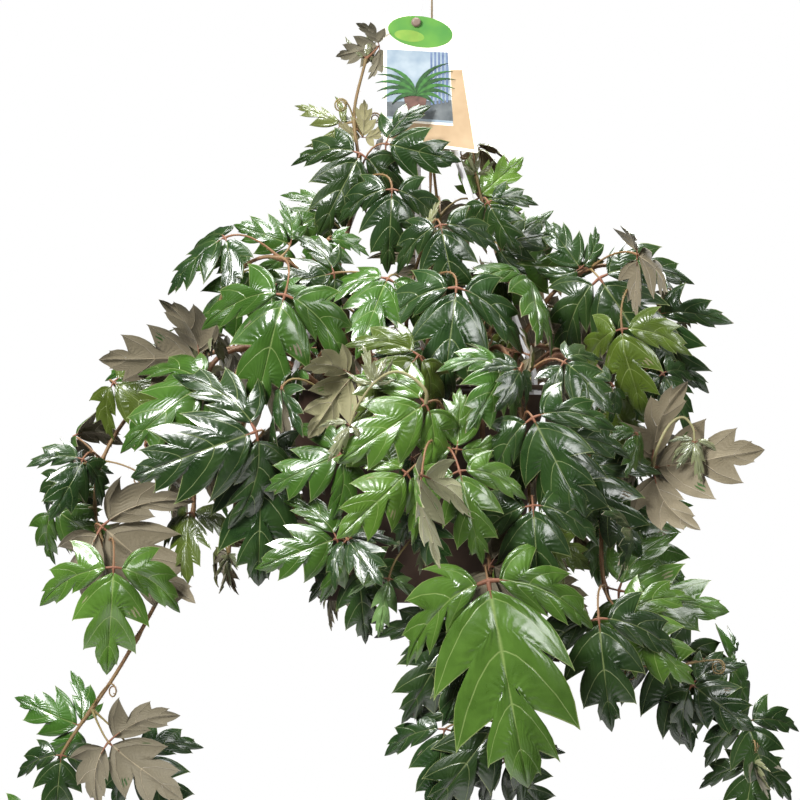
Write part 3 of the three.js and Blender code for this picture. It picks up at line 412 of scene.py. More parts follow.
def add_ruled_stem(name, azimuth, root_radius, more, leafy_from, places):
    """A stem that keeps to one direction, through places of (radius, height)."""
    STEMS.append({
        "name": name, "root": round_point(azimuth, root_radius, 0)[:2], "more": more,
        "leafy_from": leafy_from, "route": [round_point(azimuth, *place) for place in places],
    })


for name, azimuth, root_radius, end, more, leafy_from in BACK_STEMS:
    over_rim = [(78, -244), (102, -250), (118, -282), (124, (end - 282) / 2), (130, end)]
    add_ruled_stem(name, azimuth, root_radius, more, leafy_from, over_rim)
for name, azimuth, more, leafy_from in CROWN_STEMS:
    add_ruled_stem(name, azimuth, CROWN_ROOT, more, leafy_from, [(36, -235), (48, -210), (66, -204)])
print("stems in all:", len(STEMS))

# %% [markdown]
# ## The line of a stem
# A stem bends smoothly through its points, as a Catmull-Rom spline does. Its nodes, where leaves and
# tendrils grow, are about 34 mm apart.

# %% Stem lines
POT = {"rim": -267, "height": 128, "rim_radius": 86, "wall_radius": 77, "base_radius": 59, "wall": 2,
       "flange": 3}
SOIL_TOP = POT["rim"] - 12
STEM_DEPTH = 24  # how far a stem reaches into the soil
STEM_STEP = 34  # from node to node


def spline_point(bends, share):
    """The point at a share of a uniform Catmull-Rom spline through the bends."""
    place = share * (len(bends) - 1)
    i = min(int(place), len(bends) - 2)
    s = place - i
    before = bends[i - 1] if i else 2 * bends[0] - bends[1]
    after = bends[i + 2] if i + 2 < len(bends) else 2 * bends[-1] - bends[-2]
    start, end = bends[i], bends[i + 1]
    return cubic(start, (end - before) / 2, end, (after - start) / 2, s)


def stem_bends(stem):
    x, y = stem["root"]
    start = [(x, y, SOIL_TOP + rise) for rise in (-STEM_DEPTH, -6, 10)]
    return np.array(start + list(stem["route"]), dtype=float)


def stem_nodes(stem):
    """The stem's nodes from its root to its tip."""
    bends = stem_bends(stem)
    length = np.linalg.norm(np.diff(bends, axis=0), axis=1).sum()
    count = math.floor(length / STEM_STEP + 0.5)
    return np.array([spline_point(bends, i / count) for i in range(count + 1)])


for stem in STEMS:
    stem["nodes"] = stem_nodes(stem)
print("nodes in all:", sum(len(stem["nodes"]) for stem in STEMS))

# %% [markdown]
# ## How a leaf is held
# A blade has three directions: its heading towards the tip, across, and up from its upper side. They
# come from four angles. A drawing of numbers with a fixed seed varies what would else look copied.

# %% Leaf directions and draws
def draw_from(seed):
    """A function that draws numbers from 0 to 1, the same ones for the same seed."""
    state = seed

    def draw():
        nonlocal state
        state = (state * 1664525 + 1013904223) % 4294967296
        return state / 4294967296

    for _ in range(4):
        draw()
    return draw


def leaf_axes(azimuth, aim, nod, face):
    """The blade's heading, across and upper directions, as the rows of an array."""
    a, b, c, d = (math.radians(angle) for angle in (azimuth, aim, nod, face))
    outward = np.array((math.cos(a), math.sin(a), 0))
    rightward = np.array((-math.sin(a), math.cos(a), 0))
    flat = rightward * math.cos(b) + np.array((0, 0, 1)) * math.sin(b)
    heading = flat * math.cos(c) + outward * math.sin(c)
    level = unit(outward - heading * outward.dot(heading))
    upper = level * math.cos(d) + np.cross(heading, level) * math.sin(d)
    return np.array((heading, np.cross(upper, heading), upper))


SIDE_ANGLE = math.radians(86)  # between the end leaflet's rib and a side leaflet's, at its base
SIDE_BEND = 0.5  # how much a side leaflet turns towards the end leaflet on its way, in radians
SIDE_SCALE = 0.76  # a side leaflet's length as a share of the end leaflet's
LONG_SIDE_SCALE = 0.56  # the same in the longest leaves
LARGE_FROM, LONG_FROM = 70, 77  # the lengths from which a leaf is a large or a long one
DROOP = 0.3  # how far a tip hangs below its base
ARCH = 0.7  # how much a blade falls away from its rib
SIDE_DROP = 0.2  # how much the side leaflets hang further


def blade_point(side, along, out, side_scale=SIDE_SCALE, arch=ARCH, droop=DROOP):
    """A point of a leaflet in the leaf's own axes, in shares of the leaf's length."""
    scale, across = (side_scale, side) if side else (1, 1)
    angle = SIDE_ANGLE - SIDE_BEND * along if side else 0
    x = scale * (along * np.cos(angle) - out * np.sin(angle))
    y = scale * across * (along * np.sin(angle) + out * np.cos(angle))
    z = -scale * (droop * along**2 + arch * out**2 + (SIDE_DROP * along if side else 0))
    return np.stack((x, y, z), axis=-1)


def side_scale_of(length):
    return LONG_SIDE_SCALE if length >= LONG_FROM else SIDE_SCALE


print("a leaf that hangs to the front:", leaf_axes(-90, -90, 8, 0).round(2).tolist())

# %% [markdown]
# ## Finding each leaf in the solids
# The solids hold every leaf as a plain blade. Where two leaves would have met, one was turned a little,
# by the same draws as here. So each leaf is looked for among the corners of its stem's solid: the first
# turn whose three tips and clefts are there is where it grows, and a leaf that isn't there was left out.

# %% Leaves that grow
FRONT = -90
TRIES = 40
FIRST_REACH = 0.35  # how much of the stray a ruled leaf has from its first turn
SHRINKING = 0.3  # how much shorter a leaf is by its last turn
BLADE_HALF = 0.45  # half the thickness of a solid's blade
# How far a pose may stray: its place in millimetres, then its four angles.
STRAY_PLACED = (8, 14, 8, 0, 22, 20, 24)
STRAY_MORE = (16, 16, 14, 26, 40, 22, 34)
MORE_LENGTH = (46, 61)
YOUNG_LENGTH = 34
LEAFY_FROM = 0.34  # the share of a stem's nodes that bear no leaves
NEAR = 0.00002  # metres within which two corners are the same
# The marks that are looked for, each as (side, along, out).
TIPS_AND_CLEFTS = [(0, 1, 0), (1, 1, 0), (-1, 1, 0), (0, 0.06, 0.045), (0, 0.06, -0.045)]


def corner_tree(node_name):
    """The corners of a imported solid, ready to be searched."""
    corners = frame["nodes"][node_name].data.vertices
    tree = KDTree(len(corners))
    for i, corner in enumerate(corners):
        tree.insert(corner.co, i)
    tree.balance()
    return tree


def find_leaf(tree, pose, stray, seed, steady):
    """The leaf's place, directions and length as it grows in the solid, or None."""
    draw = draw_from(seed)
    for turn in range(TRIES):
        growth = turn / TRIES
        reach = growth if steady else between((FIRST_REACH, 1), growth)
        tried = [value + (stray[i] if i < 7 else 0) * reach * (2 * draw() - 1)
                 for i, value in enumerate(pose)]
        length = pose[7] * (1 - SHRINKING * growth)
        place, axes = np.array(tried[:3]), leaf_axes(*tried[3:7])
        shares = [blade_point(*mark, side_scale_of(length)) for mark in TIPS_AND_CLEFTS]
        marks = place + np.array(shares) @ axes * length
        spots = [mark + axes[2] * lift for mark in marks for lift in (BLADE_HALF, -BLADE_HALF)]
        found = sum(tree.find(Vector(spot * MM))[2] < NEAR for spot in spots)
        if found * 2 >= len(spots):
            return {"at": place, "axes": axes, "length": length}
    return None


def nearest_node(nodes, spot):
    first = math.ceil(LEAFY_FROM * (len(nodes) - 1))
    away = np.linalg.norm(nodes[first:] - np.array(spot), axis=1)
    return first + int(away.argmin())


def ruled_leaf(nodes, leafy_from, index, count, draw):
    """A leaf that follows the rule: on either side in turn, hanging outwards and down."""
    share = leafy_from + 0.04 + (0.96 - leafy_from) * (index + 0.5) / count
    node = min(len(nodes) - 1, math.floor(share * (len(nodes) - 1) + 0.5))
    x, y, z = nodes[node]
    turn = math.atan2(y, x)
    side = 1 if index % 2 else -1
    outward = np.array((math.cos(turn), math.sin(turn), 0))
    rightward = np.array((-math.sin(turn), math.cos(turn), 0))
    at = nodes[node] + outward * (14 + 12 * draw()) + rightward * side * 15 + np.array((0, 0, 8))
    full = between(MORE_LENGTH, draw())
    length = YOUNG_LENGTH if index == count - 1 and count > 2 else full
    high = min(1, max(0, (z - POT["rim"] + 30) / 70))
    angles = [math.degrees(turn) + side * 14, -90 + side * 34, 14 + 34 * high, 0]
    return [*at, *angles, length], node


RULED_LOOKS = ("dark", "middle", "dark", "olive", "middle")
for owner, stem in enumerate(STEMS):
    corners = corner_tree("vine_" + stem["name"])
    nodes, more = stem["nodes"], stem["more"]
    stem["grown"] = []
    for index, (x, y, z, aim, nod, face, length, look) in enumerate(stem.get("leaves", [])):
        pose = [x, y, z, FRONT, aim, nod, face, length]
        leaf = find_leaf(corners, pose, STRAY_PLACED, 1 + 97 * owner + 13 * index, True)
        if leaf:
            stem["grown"].append(leaf | {"node": nearest_node(nodes, (x, y, z)), "look": look})
    for index in range(more):
        seed = 5000 + 101 * owner + 17 * index
        leafy_from = stem.get("leafy_from", LEAFY_FROM)
        pose, node = ruled_leaf(nodes, leafy_from, index, more, draw_from(seed + 7))
        leaf = find_leaf(corners, pose, STRAY_MORE, seed, False)
        if leaf:
            look = "young" if pose[7] == YOUNG_LENGTH else RULED_LOOKS[(owner + index) % len(RULED_LOOKS)]
            stem["grown"].append(leaf | {"node": node, "look": look})
print("leaves found in the solids:", sum(len(stem["grown"]) for stem in STEMS))

# %% [markdown]
# ## The outline of a leaflet
# Each leaflet has a middle rib, and two to four lobes a side that point forward like fingers, with
# narrow cuts between them. The outline is a few points: a start, then tips and cuts in turn, then the
# end. Each point also says from where on the rib its side vein leaves. The end leaflet is even on both
# sides, while a side leaflet is fuller on its outer side, as its inner side has little room.

# %% Outlines
# Each point is (distance along the rib, distance out, where its side vein leaves the rib).
END_LARGE = [(0.05, 0.012, 0), (0.5, 0.36, 0.04), (0.37, 0.11, 0.19), (0.75, 0.28, 0.31),
             (0.63, 0.08, 0.46), (0.88, 0.16, 0.58), (0.84, 0.06, 0.71), (0.94, 0.065, 0.81),
             (0.94, 0.035, 0.88), (1, 0, 1)]
END_SMALL = [(0.05, 0.012, 0), (0.52, 0.35, 0.07), (0.45, 0.12, 0.26), (0.78, 0.23, 0.42),
             (0.73, 0.085, 0.59), (0.89, 0.09, 0.71), (0.89, 0.05, 0.8), (1, 0, 1)]
OUTER_LARGE = [(0.1, 0.012, 0), (0.43, 0.39, 0.03), (0.34, 0.14, 0.17), (0.69, 0.28, 0.29),
               (0.6, 0.09, 0.46), (0.85, 0.15, 0.6), (0.84, 0.055, 0.74), (1, 0, 1)]
OUTER_SMALL = [(0.1, 0.012, 0), (0.44, 0.38, 0.05), (0.4, 0.14, 0.22), (0.73, 0.23, 0.38),
               (0.69, 0.08, 0.56), (0.88, 0.09, 0.7), (0.87, 0.045, 0.8), (1, 0, 1)]
INNER_LARGE = [(0.1, 0.01, 0), (0.54, 0.19, 0.15), (0.48, 0.08, 0.3), (0.76, 0.17, 0.44),
               (0.72, 0.07, 0.6), (0.89, 0.075, 0.76), (0.89, 0.045, 0.82), (1, 0, 1)]
INNER_SMALL = [(0.1, 0.01, 0), (0.55, 0.17, 0.2), (0.53, 0.085, 0.36), (0.8, 0.13, 0.52),
               (0.79, 0.065, 0.7), (1, 0, 1)]
LEAFLETS = {
    "large": {0: (END_LARGE, END_LARGE), 1: (INNER_LARGE, OUTER_LARGE)},
    "small": {0: (END_SMALL, END_SMALL), 1: (INNER_SMALL, OUTER_SMALL)},
}
SHOULDER = 0.3  # how much the first edge swells on its way to a tip, as a share of its length
FLANK = 0.24  # how much the others do
HOLLOW = -0.02  # and how much the edge sinks behind a tip
SWEEP = 1.6  # how much a side vein starts out square to the rib and then turns forward
BRISTLE = 0.014  # how far the point of a tooth stands out


def varied(stops, draw):
    """The same outline with its lobes longer or shorter, and its cuts deeper or less deep."""
    changed = [stops[0]]
    for k, (along, out, share) in enumerate(stops[1:-1], start=1):
        spread = (0.9, 0.2) if k % 2 else (0.75, 0.95)
        changed.append((along + 0.04 * (draw() - 0.5), out * (spread[0] + spread[1] * draw()), share))
    return [*changed, stops[-1]]


def edge_point(stops, share):
    """Where the ray from this share of the rib meets the edge, and how many veins lie before it."""
    k = max(i for i in range(len(stops) - 1) if stops[i][2] <= share)
    (a0, o0, r0), (a1, o1, r1) = stops[k], stops[k + 1]
    s = (share - r0) / (r1 - r0)
    bulge = SHOULDER if k == 0 else FLANK if k % 2 == 0 else HOLLOW
    if k == len(stops) - 2:
        bulge = FLANK / 2
    a_bend = (a0 + a1) / 2 - (o1 - o0) * bulge
    o_bend = (o0 + o1) / 2 + (a1 - a0) * bulge
    along, out = bent(a0, a_bend, a1, s), bent(o0, o_bend, o1, s)
    if any(abs(share - r) < 1e-6 for _, _, r in stops[1:-1:2]):
        along, out = along + BRISTLE, out + BRISTLE * 0.5
    veins = s if k == 0 else (k + 1 + s) / 2
    return along, out, veins


def ray_shares(halves, chord):
    """Where on the rib the rays leave: at every tip and cut, beside each tip, and between them so
    that no piece of the edge is longer than a chord."""
    fixed = set()
    for stops in halves:
        fixed.update(share for _, _, share in stops)
        fixed.update(share + d for _, _, share in stops[1:-1:2] for d in (-0.012, 0.012))
    marks = sorted(fixed)
    marks = [m for i, m in enumerate(marks) if i == 0 or m - marks[i - 1] > 0.004 or m == 1]
    shares = [0.0]
    for start, end in zip(marks, marks[1:]):
        spans = [math.dist(edge_point(stops, start)[:2], edge_point(stops, end)[:2]) for stops in halves]
        parts = math.ceil(max(spans) / chord)
        shares += [start + (end - start) * i / parts for i in range(1, parts + 1)]
    return shares


CHORDS = {"fine": 0.075, "plain": 0.2}  # the longest piece of edge, as a share of the rib
print("rays of a large end leaflet:", len(ray_shares((END_LARGE, END_LARGE), CHORDS["fine"])))

# %% [markdown]
# ## The blade
# A leaflet is a grid: rays from the rib to the edge, and columns across them. On the real leaf the
# tissue between two side veins swells upwards like a pillow, the rib and veins lie in grooves on top
# and stand out below, and the edge turns down. That relief is in the mesh, because it is what makes the
# broad highlights. Both sides are made, as one closed thin shell. The map named blade holds the count
# of veins and the share of the way to the edge, so that the material can draw veins and margin. A short
# round stalk of its own joins each side leaflet to the middle of the leaf.

# %% Blades
BARK, HAIR, UPPER, UNDER = 0, 1, 2, 3  # the finish numbers of a stem's faces
COLUMNS = {"fine": (0, 0.06, 0.22, 0.45, 0.72, 1), "plain": (0, 0.12, 0.5, 1)}
LOW_COLUMNS = {"fine": (0, 0.12, 0.5, 1), "plain": (0, 1)}
BLADE_THICK = 0.009
GROOVE = 0.006  # how deep the rib lies on the upper side
RIDGES = {"vein": (0.004, 0.07), "rib": (0.012, 0.08)}  # height and half width below, at the rib
OWN_STALK = {"radius": 0.011, "sides": 5}


def relief(along, out, v, veins, look):
    """How far the upper side stands above the plain bowed blade."""
    pillow = np.sin(np.pi * veins)**2
    body = np.sin(np.pi * np.clip(v, 0, 1))
    rise = look["quilt"] * pillow**0.7 * body**0.8
    rise += 0.35 * look["quilt"] * body
    rise -= GROOVE * (v < 0.01)
    rise -= look["curl"] * v**4
    rise -= look["hook"] * np.clip(along - 0.7, 0, 1)**2
    sway = np.sin(2 * np.pi * (1.2 * along + look["phase"])) * np.cos(2 * np.pi * (1.6 * out + look["phase"]))
    return rise + look["wave"] * sway * min(1, 4 * along)


def ridge(kind, away):
    """How far a rib or vein stands out below, at a distance from its middle."""
    height, half = RIDGES[kind]
    return height * math.exp(-(away / half)**2)


def add_leaflet(bm, side, halves, look, detail, side_scale):
    """One leaflet as a closed shell with its finish numbers and its blade map."""
    base = halves[0][0][0]
    shares = ray_shares(halves, CHORDS[detail])
    map_layer = bm.loops.layers.uv["blade"]
    finish_layer = bm.faces.layers.int["finish"]
    edges = [[edge_point(half, share) for share in shares] for half in halves]
    sheets = {UPPER: COLUMNS[detail], UNDER: LOW_COLUMNS[detail]}
    slots, grids = {}, {}
    for layer, columns in sheets.items():
        slots[layer] = [(0, v) for v in reversed(columns[1:])] + [(1, 0)] + [(1, v) for v in columns[1:]]
        grids[layer] = []
    for i, share in enumerate(shares):
        rib_along = base + (1 - base) * share
        for layer in sheets:
            row = []
            for half, v in (slots[layer] if i < len(shares) - 1 else [(1, 0)]):
                along_edge, out_edge, veins = edges[half][i]
                along = rib_along + (along_edge - rib_along) * v**SWEEP
                out = out_edge * v * (-1 if half == 0 else 1)
                lift = relief(along, out, v, veins, look)
                if layer == UNDER:
                    vein = (1 - v) * ridge("vein", veins - round(veins))
                    lift -= BLADE_THICK * (1 - 0.4 * v) + vein + ridge("rib", v)
                spot = blade_point(side, along, out * look["pinch"], side_scale, look["arch"], look["droop"])
                row.append(bm.verts.new(spot + np.array((0, 0, lift))))
            grids[layer].append(row)

    def face(corners, uvs, finish):
        pairs = [(c, uv) for k, (c, uv) in enumerate(zip(corners, uvs)) if c is not corners[k - 1]]
        if side == -1:
            pairs.reverse()
        made = bm.faces.new([c for c, _ in pairs])
        made.smooth = True
        made[finish_layer] = finish
        for loop, (_, uv) in zip(made.loops, pairs):
            loop[map_layer].uv = uv
        return made

    rim = []
    for i in range(len(shares) - 1):
        single = i + 1 == len(shares) - 1
        for layer in sheets:
            here, there = grids[layer][i], grids[layer][i + 1]
            for j in range(len(here) - 1):
                half = 0 if j < len(here) // 2 else 1
                a, b = (0, 0) if single else (j, j + 1)
                corners = [here[j], there[a], there[b], here[j + 1]]
                far = [0 if single else slots[layer][k][1] for k in (a, b)]
                uvs = [(edges[half][i][2], slots[layer][j][1]), (edges[half][i + 1][2], far[0]),
                       (edges[half][i + 1][2], far[1]), (edges[half][i][2], slots[layer][j + 1][1])]
                if layer == UNDER:
                    corners.reverse()
                    uvs.reverse()
                face(corners, uvs, layer)
        for j in (0, -1):
            top, low = grids[UPPER], grids[UNDER]
            corners = [top[i][j], top[i + 1][j], low[i + 1][j], low[i][j]]
            if j == 0:
                corners.reverse()
            rim.append(face(corners, [(edges[j][i][2], 1)] * 4, UNDER))
    base_ring = grids[UPPER][0] + grids[UNDER][0][::-1]
    rim.append(face(base_ring, [(0, 1)] * len(base_ring), UNDER))
    for made in rim:
        for edge in made.edges:
            edge.smooth = False


def add_own_stalk(bm, side, end, look, side_scale):
    """The little stalk between the leaf's middle and a leaflet's base, up to a share of its rib."""
    finish_layer = bm.faces.layers.int["finish"]
    rings = []
    for along in (-0.01, 0.3 * end, end, end + 0.1):
        middle = blade_point(side, along, 0, side_scale, look["arch"], look["droop"])
        ahead = unit(blade_point(side, along + 0.01, 0, side_scale, look["arch"], look["droop"]) - middle)
        across = np.cross((0, 0, 1), ahead)
        radius = OWN_STALK["radius"] * (1.25 if along < end / 2 else 1 if along <= end else 0.45)
        sink = np.array((0, 0, -0.006 if along <= end else -0.012))
        ring = []
        for k in range(OWN_STALK["sides"]):
            turn = 2 * math.pi * k / OWN_STALK["sides"]
            way = across * math.cos(turn) + np.cross(ahead, across) * math.sin(turn)
            ring.append(bm.verts.new(middle + sink + way * radius))
        rings.append(ring)
    made = [bm.faces.new(rings[0][::-1]), bm.faces.new(rings[-1])]
    for one, two in zip(rings, rings[1:]):
        for k in range(len(one)):
            n = (k + 1) % len(one)
            made.append(bm.faces.new((one[k], one[n], two[n], two[k])))
    for face in made:
        face.smooth = True
        face[finish_layer] = BARK


def make_blade(name, kind, seed, detail="fine", side_scale=SIDE_SCALE, **changes):
    """A whole leaf of three leaflets, one long from its heel to its tip."""
    draw = draw_from(seed)
    look = {"quilt": 0.012, "curl": 0.012, "hook": 0.25, "wave": 0.024, "arch": ARCH,
            "droop": DROOP, "pinch": 1} | changes
    bm = bmesh.new()
    bm.loops.layers.uv.new("blade")
    bm.faces.layers.int.new("finish")
    for side in (0, 1, -1):
        halves = [varied(stops, draw) for stops in LEAFLETS[kind][abs(side)]]
        add_leaflet(bm, side, halves, look | {"phase": draw()}, detail, side_scale)
        add_own_stalk(bm, side, halves[0][0][0], look, side_scale)
    blade = bpy.data.objects.new(name, mesh_from(name, bm))
    blades.objects.link(blade)
    return blade


blades = bpy.data.collections.new("blades")
LONG_SIDES = {"side_scale": LONG_SIDE_SCALE}
BLADES = [
    ("small", 11, "fine", {}), ("small", 12, "fine", {"quilt": 0.017}),
    ("small", 13, "fine", {"wave": 0.034}), ("small", 14, "fine", {"curl": 0.022}),
    ("large", 21, "fine", {"quilt": 0.01}), ("large", 22, "fine", {"quilt": 0.015}),
    ("large", 23, "fine", {"quilt": 0.01} | LONG_SIDES),
    ("large", 24, "fine", {"quilt": 0.013} | LONG_SIDES),
    ("small", 31, "plain", {}), ("small", 32, "plain", {"wave": 0.028}), ("small", 33, "plain", {}),
    ("small", 34, "plain", {"curl": 0.03}),
    ("small", 41, "fine", {"quilt": 0.03, "arch": 2.6, "pinch": 0.62}),
    ("small", 42, "plain", {"quilt": 0.03, "arch": 3.4, "pinch": 0.5, "curl": 0.03}),
]
SMALL_BLADES, LARGE_BLADES, LONG_BLADES, PLAIN_BLADES = (0, 1, 2, 3), (4, 5), (6, 7), (8, 9, 10, 11)
YOUNG_BLADE, BUD_BLADE = 12, 13
for number, (kind, seed, detail, changes) in enumerate(BLADES):
    blade = make_blade(f"blade_{number:02d}", kind, seed, detail, **changes)
    print(blade.name, kind, detail, sum(len(p.vertices) - 2 for p in blade.data.polygons), "triangles")

# %% [markdown]
# ## Leaf finishes
# A living leaf is a layer of green tissue under a clear waxy skin. Young leaves are yellow-green, and
# old ones a deep blue-green. The upper side is glossy, with pale sunken veins, and a thin pale line is
# painted along its edge as a highlight where the rim catches the light. The underside is matt and
# covered in short silver to rust hairs, so it looks taupe, with pale raised veins. Two materials do
# this, and each leaf brings its own colour as an attribute.

# %% Leaf materials
VEIN_HALF = 0.026  # half the width of a side vein, as a share of the space between two
RIB_HALF = 0.045  # half the width of the rib, as a share of the way to the edge
RIPPLES = 7  # swellings between the rib and the edge, which the cross veins tie down
CELL = 2.2  # millimetres between the finest veins, whose mesh quilts the skin


def vein_masks(tree):
    """How much a point lies on a rib or vein, on the edge where a pale highlight is painted, and how high its
    ripple is.
    """
    blade_map = add_node(tree, "ShaderNodeUVMap", uv_map="blade")
    veins, v, _ = add_node(tree, "ShaderNodeSeparateXYZ", {0: blade_map.outputs[0]}).outputs
    away = math_of(tree, "PINGPONG", veins, 0.5)
    widening = math_of(tree, "MULTIPLY_ADD", v, -0.6 * VEIN_HALF, VEIN_HALF)
    side_vein = math_of(tree, "SMOOTH_MIN", math_of(tree, "DIVIDE", away, widening), 1.0, 0.3)
    rib = math_of(tree, "DIVIDE", v, RIB_HALF, clamp=True)
    on_vein = math_of(tree, "SUBTRACT", 1.0, math_of(tree, "MINIMUM", side_vein, rib), clamp=True)
    # The outermost strip of the blade, where a pale highlight is painted as if the rim caught the light.
    painted_rim_highlight = math_of(tree, "GREATER_THAN", v, 0.982)
    shift = math_of(tree, "MULTIPLY", noise_of(tree, 11, 1.0), 9.0)
    phase = math_of(tree, "MULTIPLY_ADD", v, 2 * math.pi * RIPPLES, shift)
    wave = math_of(tree, "MULTIPLY", math_of(tree, "SINE", phase), math_of(tree, "MULTIPLY", away, 2.0))
    return on_vein, painted_rim_highlight, wave


def leaf_grain(tree):
    """The finest vein mesh, a slow unevenness and a fine one."""
    inputs = {"Vector": object_spots(tree), "Scale": 1 / MM / CELL}
    cells = result_of(tree, "ShaderNodeTexVoronoi", inputs, feature="DISTANCE_TO_EDGE")
    return cells, noise_of(tree, 14, 3.0), noise_of(tree, 0.8)


def leaf_upper():
    """Glossy waxy cuticle over green tissue: mirror-like highlights broken by ripples."""
    material, tree, shader = new_material("glossy living leaf, waxy upper side")
    own = own_colour(tree, "top_color")
    on_vein, painted_rim_highlight, wave = vein_masks(tree)
    cells, slow, fine = leaf_grain(tree)
    dark = blend_of(tree, 0.45, own, linear("#10240f"), "MULTIPLY")
    light = blend_of(tree, 0.05, own, linear("#9ab84e"))
    green = blend_of(tree, 0.6, own, blend_of(tree, patches_of(tree, slow, 2.6, -0.8), dark, light))
    pale = blend_of(tree, 0.34, own, linear("#c3cf8a"))
    green = tinted(tree, green, on_vein, 0.8, pale)
    # A thin pale line along the edge: a painted highlight where the rim catches the light.
    green = tinted(tree, green, painted_rim_highlight, 0.45, linear("#9fa96c"))
    sunken = math_of(tree, "SUBTRACT", 1.0, on_vein)
    skin = bumps_of(tree, (cells, 0.35, 0.25), (wave, 0.35, 0.45), (fine, 0.12, 0.1), (sunken, 0.45, 0.35))
    rough = math_of(tree, "MULTIPLY_ADD", slow, 0.2, 0.2)
    fill(tree, shader, {"Base Color": green, "Roughness": rough, "Normal": skin,
                        "Specular IOR Level": 0.5, "Coat Weight": 0.7, "Coat Roughness": 0.16})
    return material


def leaf_under():
    """Matt hairy underside: short pale hairs scatter the light, so it has sheen and no gloss."""
    material, tree, shader = new_material("hairy living leaf, matt underside")
    own = own_colour(tree, "under_color")
    on_vein, _, wave = vein_masks(tree)
    cells, slow, fine = leaf_grain(tree)
    shaded = blend_of(tree, 0.5, own, linear("#8d8560"), "MULTIPLY")
    felt = tinted(tree, own, patches_of(tree, slow, 2.2, -0.7), 0.6, shaded)
    felt = tinted(tree, felt, fine, 0.22, linear("#a59a80"))
    felt = tinted(tree, felt, on_vein, 0.75, linear("#ab9c80"))
    skin = bumps_of(tree, (cells, 0.35, 0.3), (wave, 0.25, 0.4), (fine, 0.5, 0.2), (on_vein, 0.8, 0.7))
    fill(tree, shader, {"Base Color": felt, "Roughness": 0.72, "Normal": skin,
                        "Sheen Weight": 0.25, "Sheen Roughness": 0.5})
    return material


LEAF_UPPER, LEAF_UNDER = leaf_upper(), leaf_under()
print("leaf finishes:", LEAF_UPPER.name, "and", LEAF_UNDER.name)

# %% [markdown]
# ## Stem and hair finishes
# A stem of this vine is thin, red-brown where it has ripened and green-olive where it is young, ringed
# by a swollen knob at each node, and covered in short rust hairs. The stalks of the leaves run from
# yellow-green to red-brown. The colour is an attribute here too, mottled a little.

# %% Stem materials
def stem_bark():
    """Young bark: fibres along the stem and small pale pores, half matt."""
    material, tree, shader = new_material("ripening vine bark")
    own = own_colour(tree, "bark_color")
    _, slow, fine = leaf_grain(tree)
    ripe = blend_of(tree, 0.5, own, linear("#5a2c1c"), "MULTIPLY")
    skin = tinted(tree, own, patches_of(tree, slow, 2.4, -0.8), 0.6, ripe)
    skin = tinted(tree, skin, fine, 0.3, linear("#a97f60"))
    bump = bumps_of(tree, (fine, 0.6, 0.25))
    fill(tree, shader, {"Base Color": skin, "Roughness": 0.6, "Normal": bump})
    return material


def vine_hair():
    """Rust-coloured hairs that catch the light."""
    material, tree, shader = new_material("rust vine hair")
    colour = ramp(tree, noise_of(tree, 9), [(0.35, "#8a4a2c"), (0.65, "#d0a684")])
    fill(tree, shader, {"Base Color": colour, "Roughness": 0.55, "Sheen Weight": 0.3})
    return material


STEM_BARK, VINE_HAIR = stem_bark(), vine_hair()
print("stem finishes:", STEM_BARK.name, "and", VINE_HAIR.name)

# %% [markdown]
# ## What grows on a stem, as points and lines
# A stem is drafted as a mesh of bare points and edges: one lone point for each leaf, and a line for
# each stem, stalk and tendril. Attributes on the points carry the rest, such as a leaf's turn, size and
# colours or a line's thickness. The draft is small and easy to read, and Geometry Nodes dress it.

# %% The draft of a stem
# What a point carries: the kind of value, the field that holds it, and its value if nothing is said.
COLOUR = ("FLOAT_COLOR", "color", (0, 0, 0, 1))
ATTRIBUTES = {
    "blade": ("INT", "value", 0), "is_leaf": ("BOOLEAN", "value", False),
    "turn": ("FLOAT_VECTOR", "vector", (0, 0, 0)), "size": ("FLOAT", "value", 0.0),
    "thick": ("FLOAT", "value", 0.0), "top_color": COLOUR, "under_color": COLOUR, "bark_color": COLOUR,
}


def new_draft():
    return {"spots": [], "links": []} | {label: [] for label in ATTRIBUTES}


def draft_point(draft, spot, **facts):
    """Adds one point, in millimetres, with what is known of it."""
    draft["spots"].append(tuple(np.asarray(spot) * MM))
    for label, (*_, plain) in ATTRIBUTES.items():
        draft[label].append(facts.get(label, plain))


def draft_line(draft, spots, radii, colours):
    """Adds a line of points with a radius in millimetres and a colour each."""
    first = len(draft["spots"])
    for spot, radius, colour in zip(spots, radii, colours):
        draft_point(draft, spot, thick=radius * MM, bark_color=colour)
    draft["links"] += [(first + i, first + i + 1) for i in range(len(spots) - 1)]


OWN_STALK_RED = linear("#744530")


def draft_leaf(draft, leaf, blade, top, under):
    """Adds a leaf's point with its turn, size and colours."""
    turn = Matrix([Vector(axis) for axis in leaf["axes"]]).transposed().to_euler("XYZ")
    draft_point(draft, leaf["at"], is_leaf=True, blade=blade, turn=tuple(turn),
                size=leaf["length"] * MM, top_color=top, under_color=under, bark_color=OWN_STALK_RED)


def mixed(one, two, share):
    """A colour between two linear ones."""
    return tuple(a + (b - a) * share for a, b in zip(one, two))


# A look is the colour of the upper side and of the underside. The olive look is green made lighter and
# yellower as light that shines through a leaf from behind: painted light, which the ruled and inner
# leaves also take as one more tone.
LOOKS = {
    "dark": ("#203a17", "#5d5645"), "middle": ("#365a1c", "#655e4a"), "bright": ("#4c7026", "#7c7e55"),
    "lime": ("#62852b", "#8b905f"), "olive": ("#4a5a1b", "#666040"), "taupe": ("#315224", "#625c48"),
    "pale": ("#5a7836", "#85845f"), "mint": ("#6b8f56", "#92997a"), "young": ("#717a41", "#776b50"),
    "silver": ("#7c805f", "#8c8672"),
}


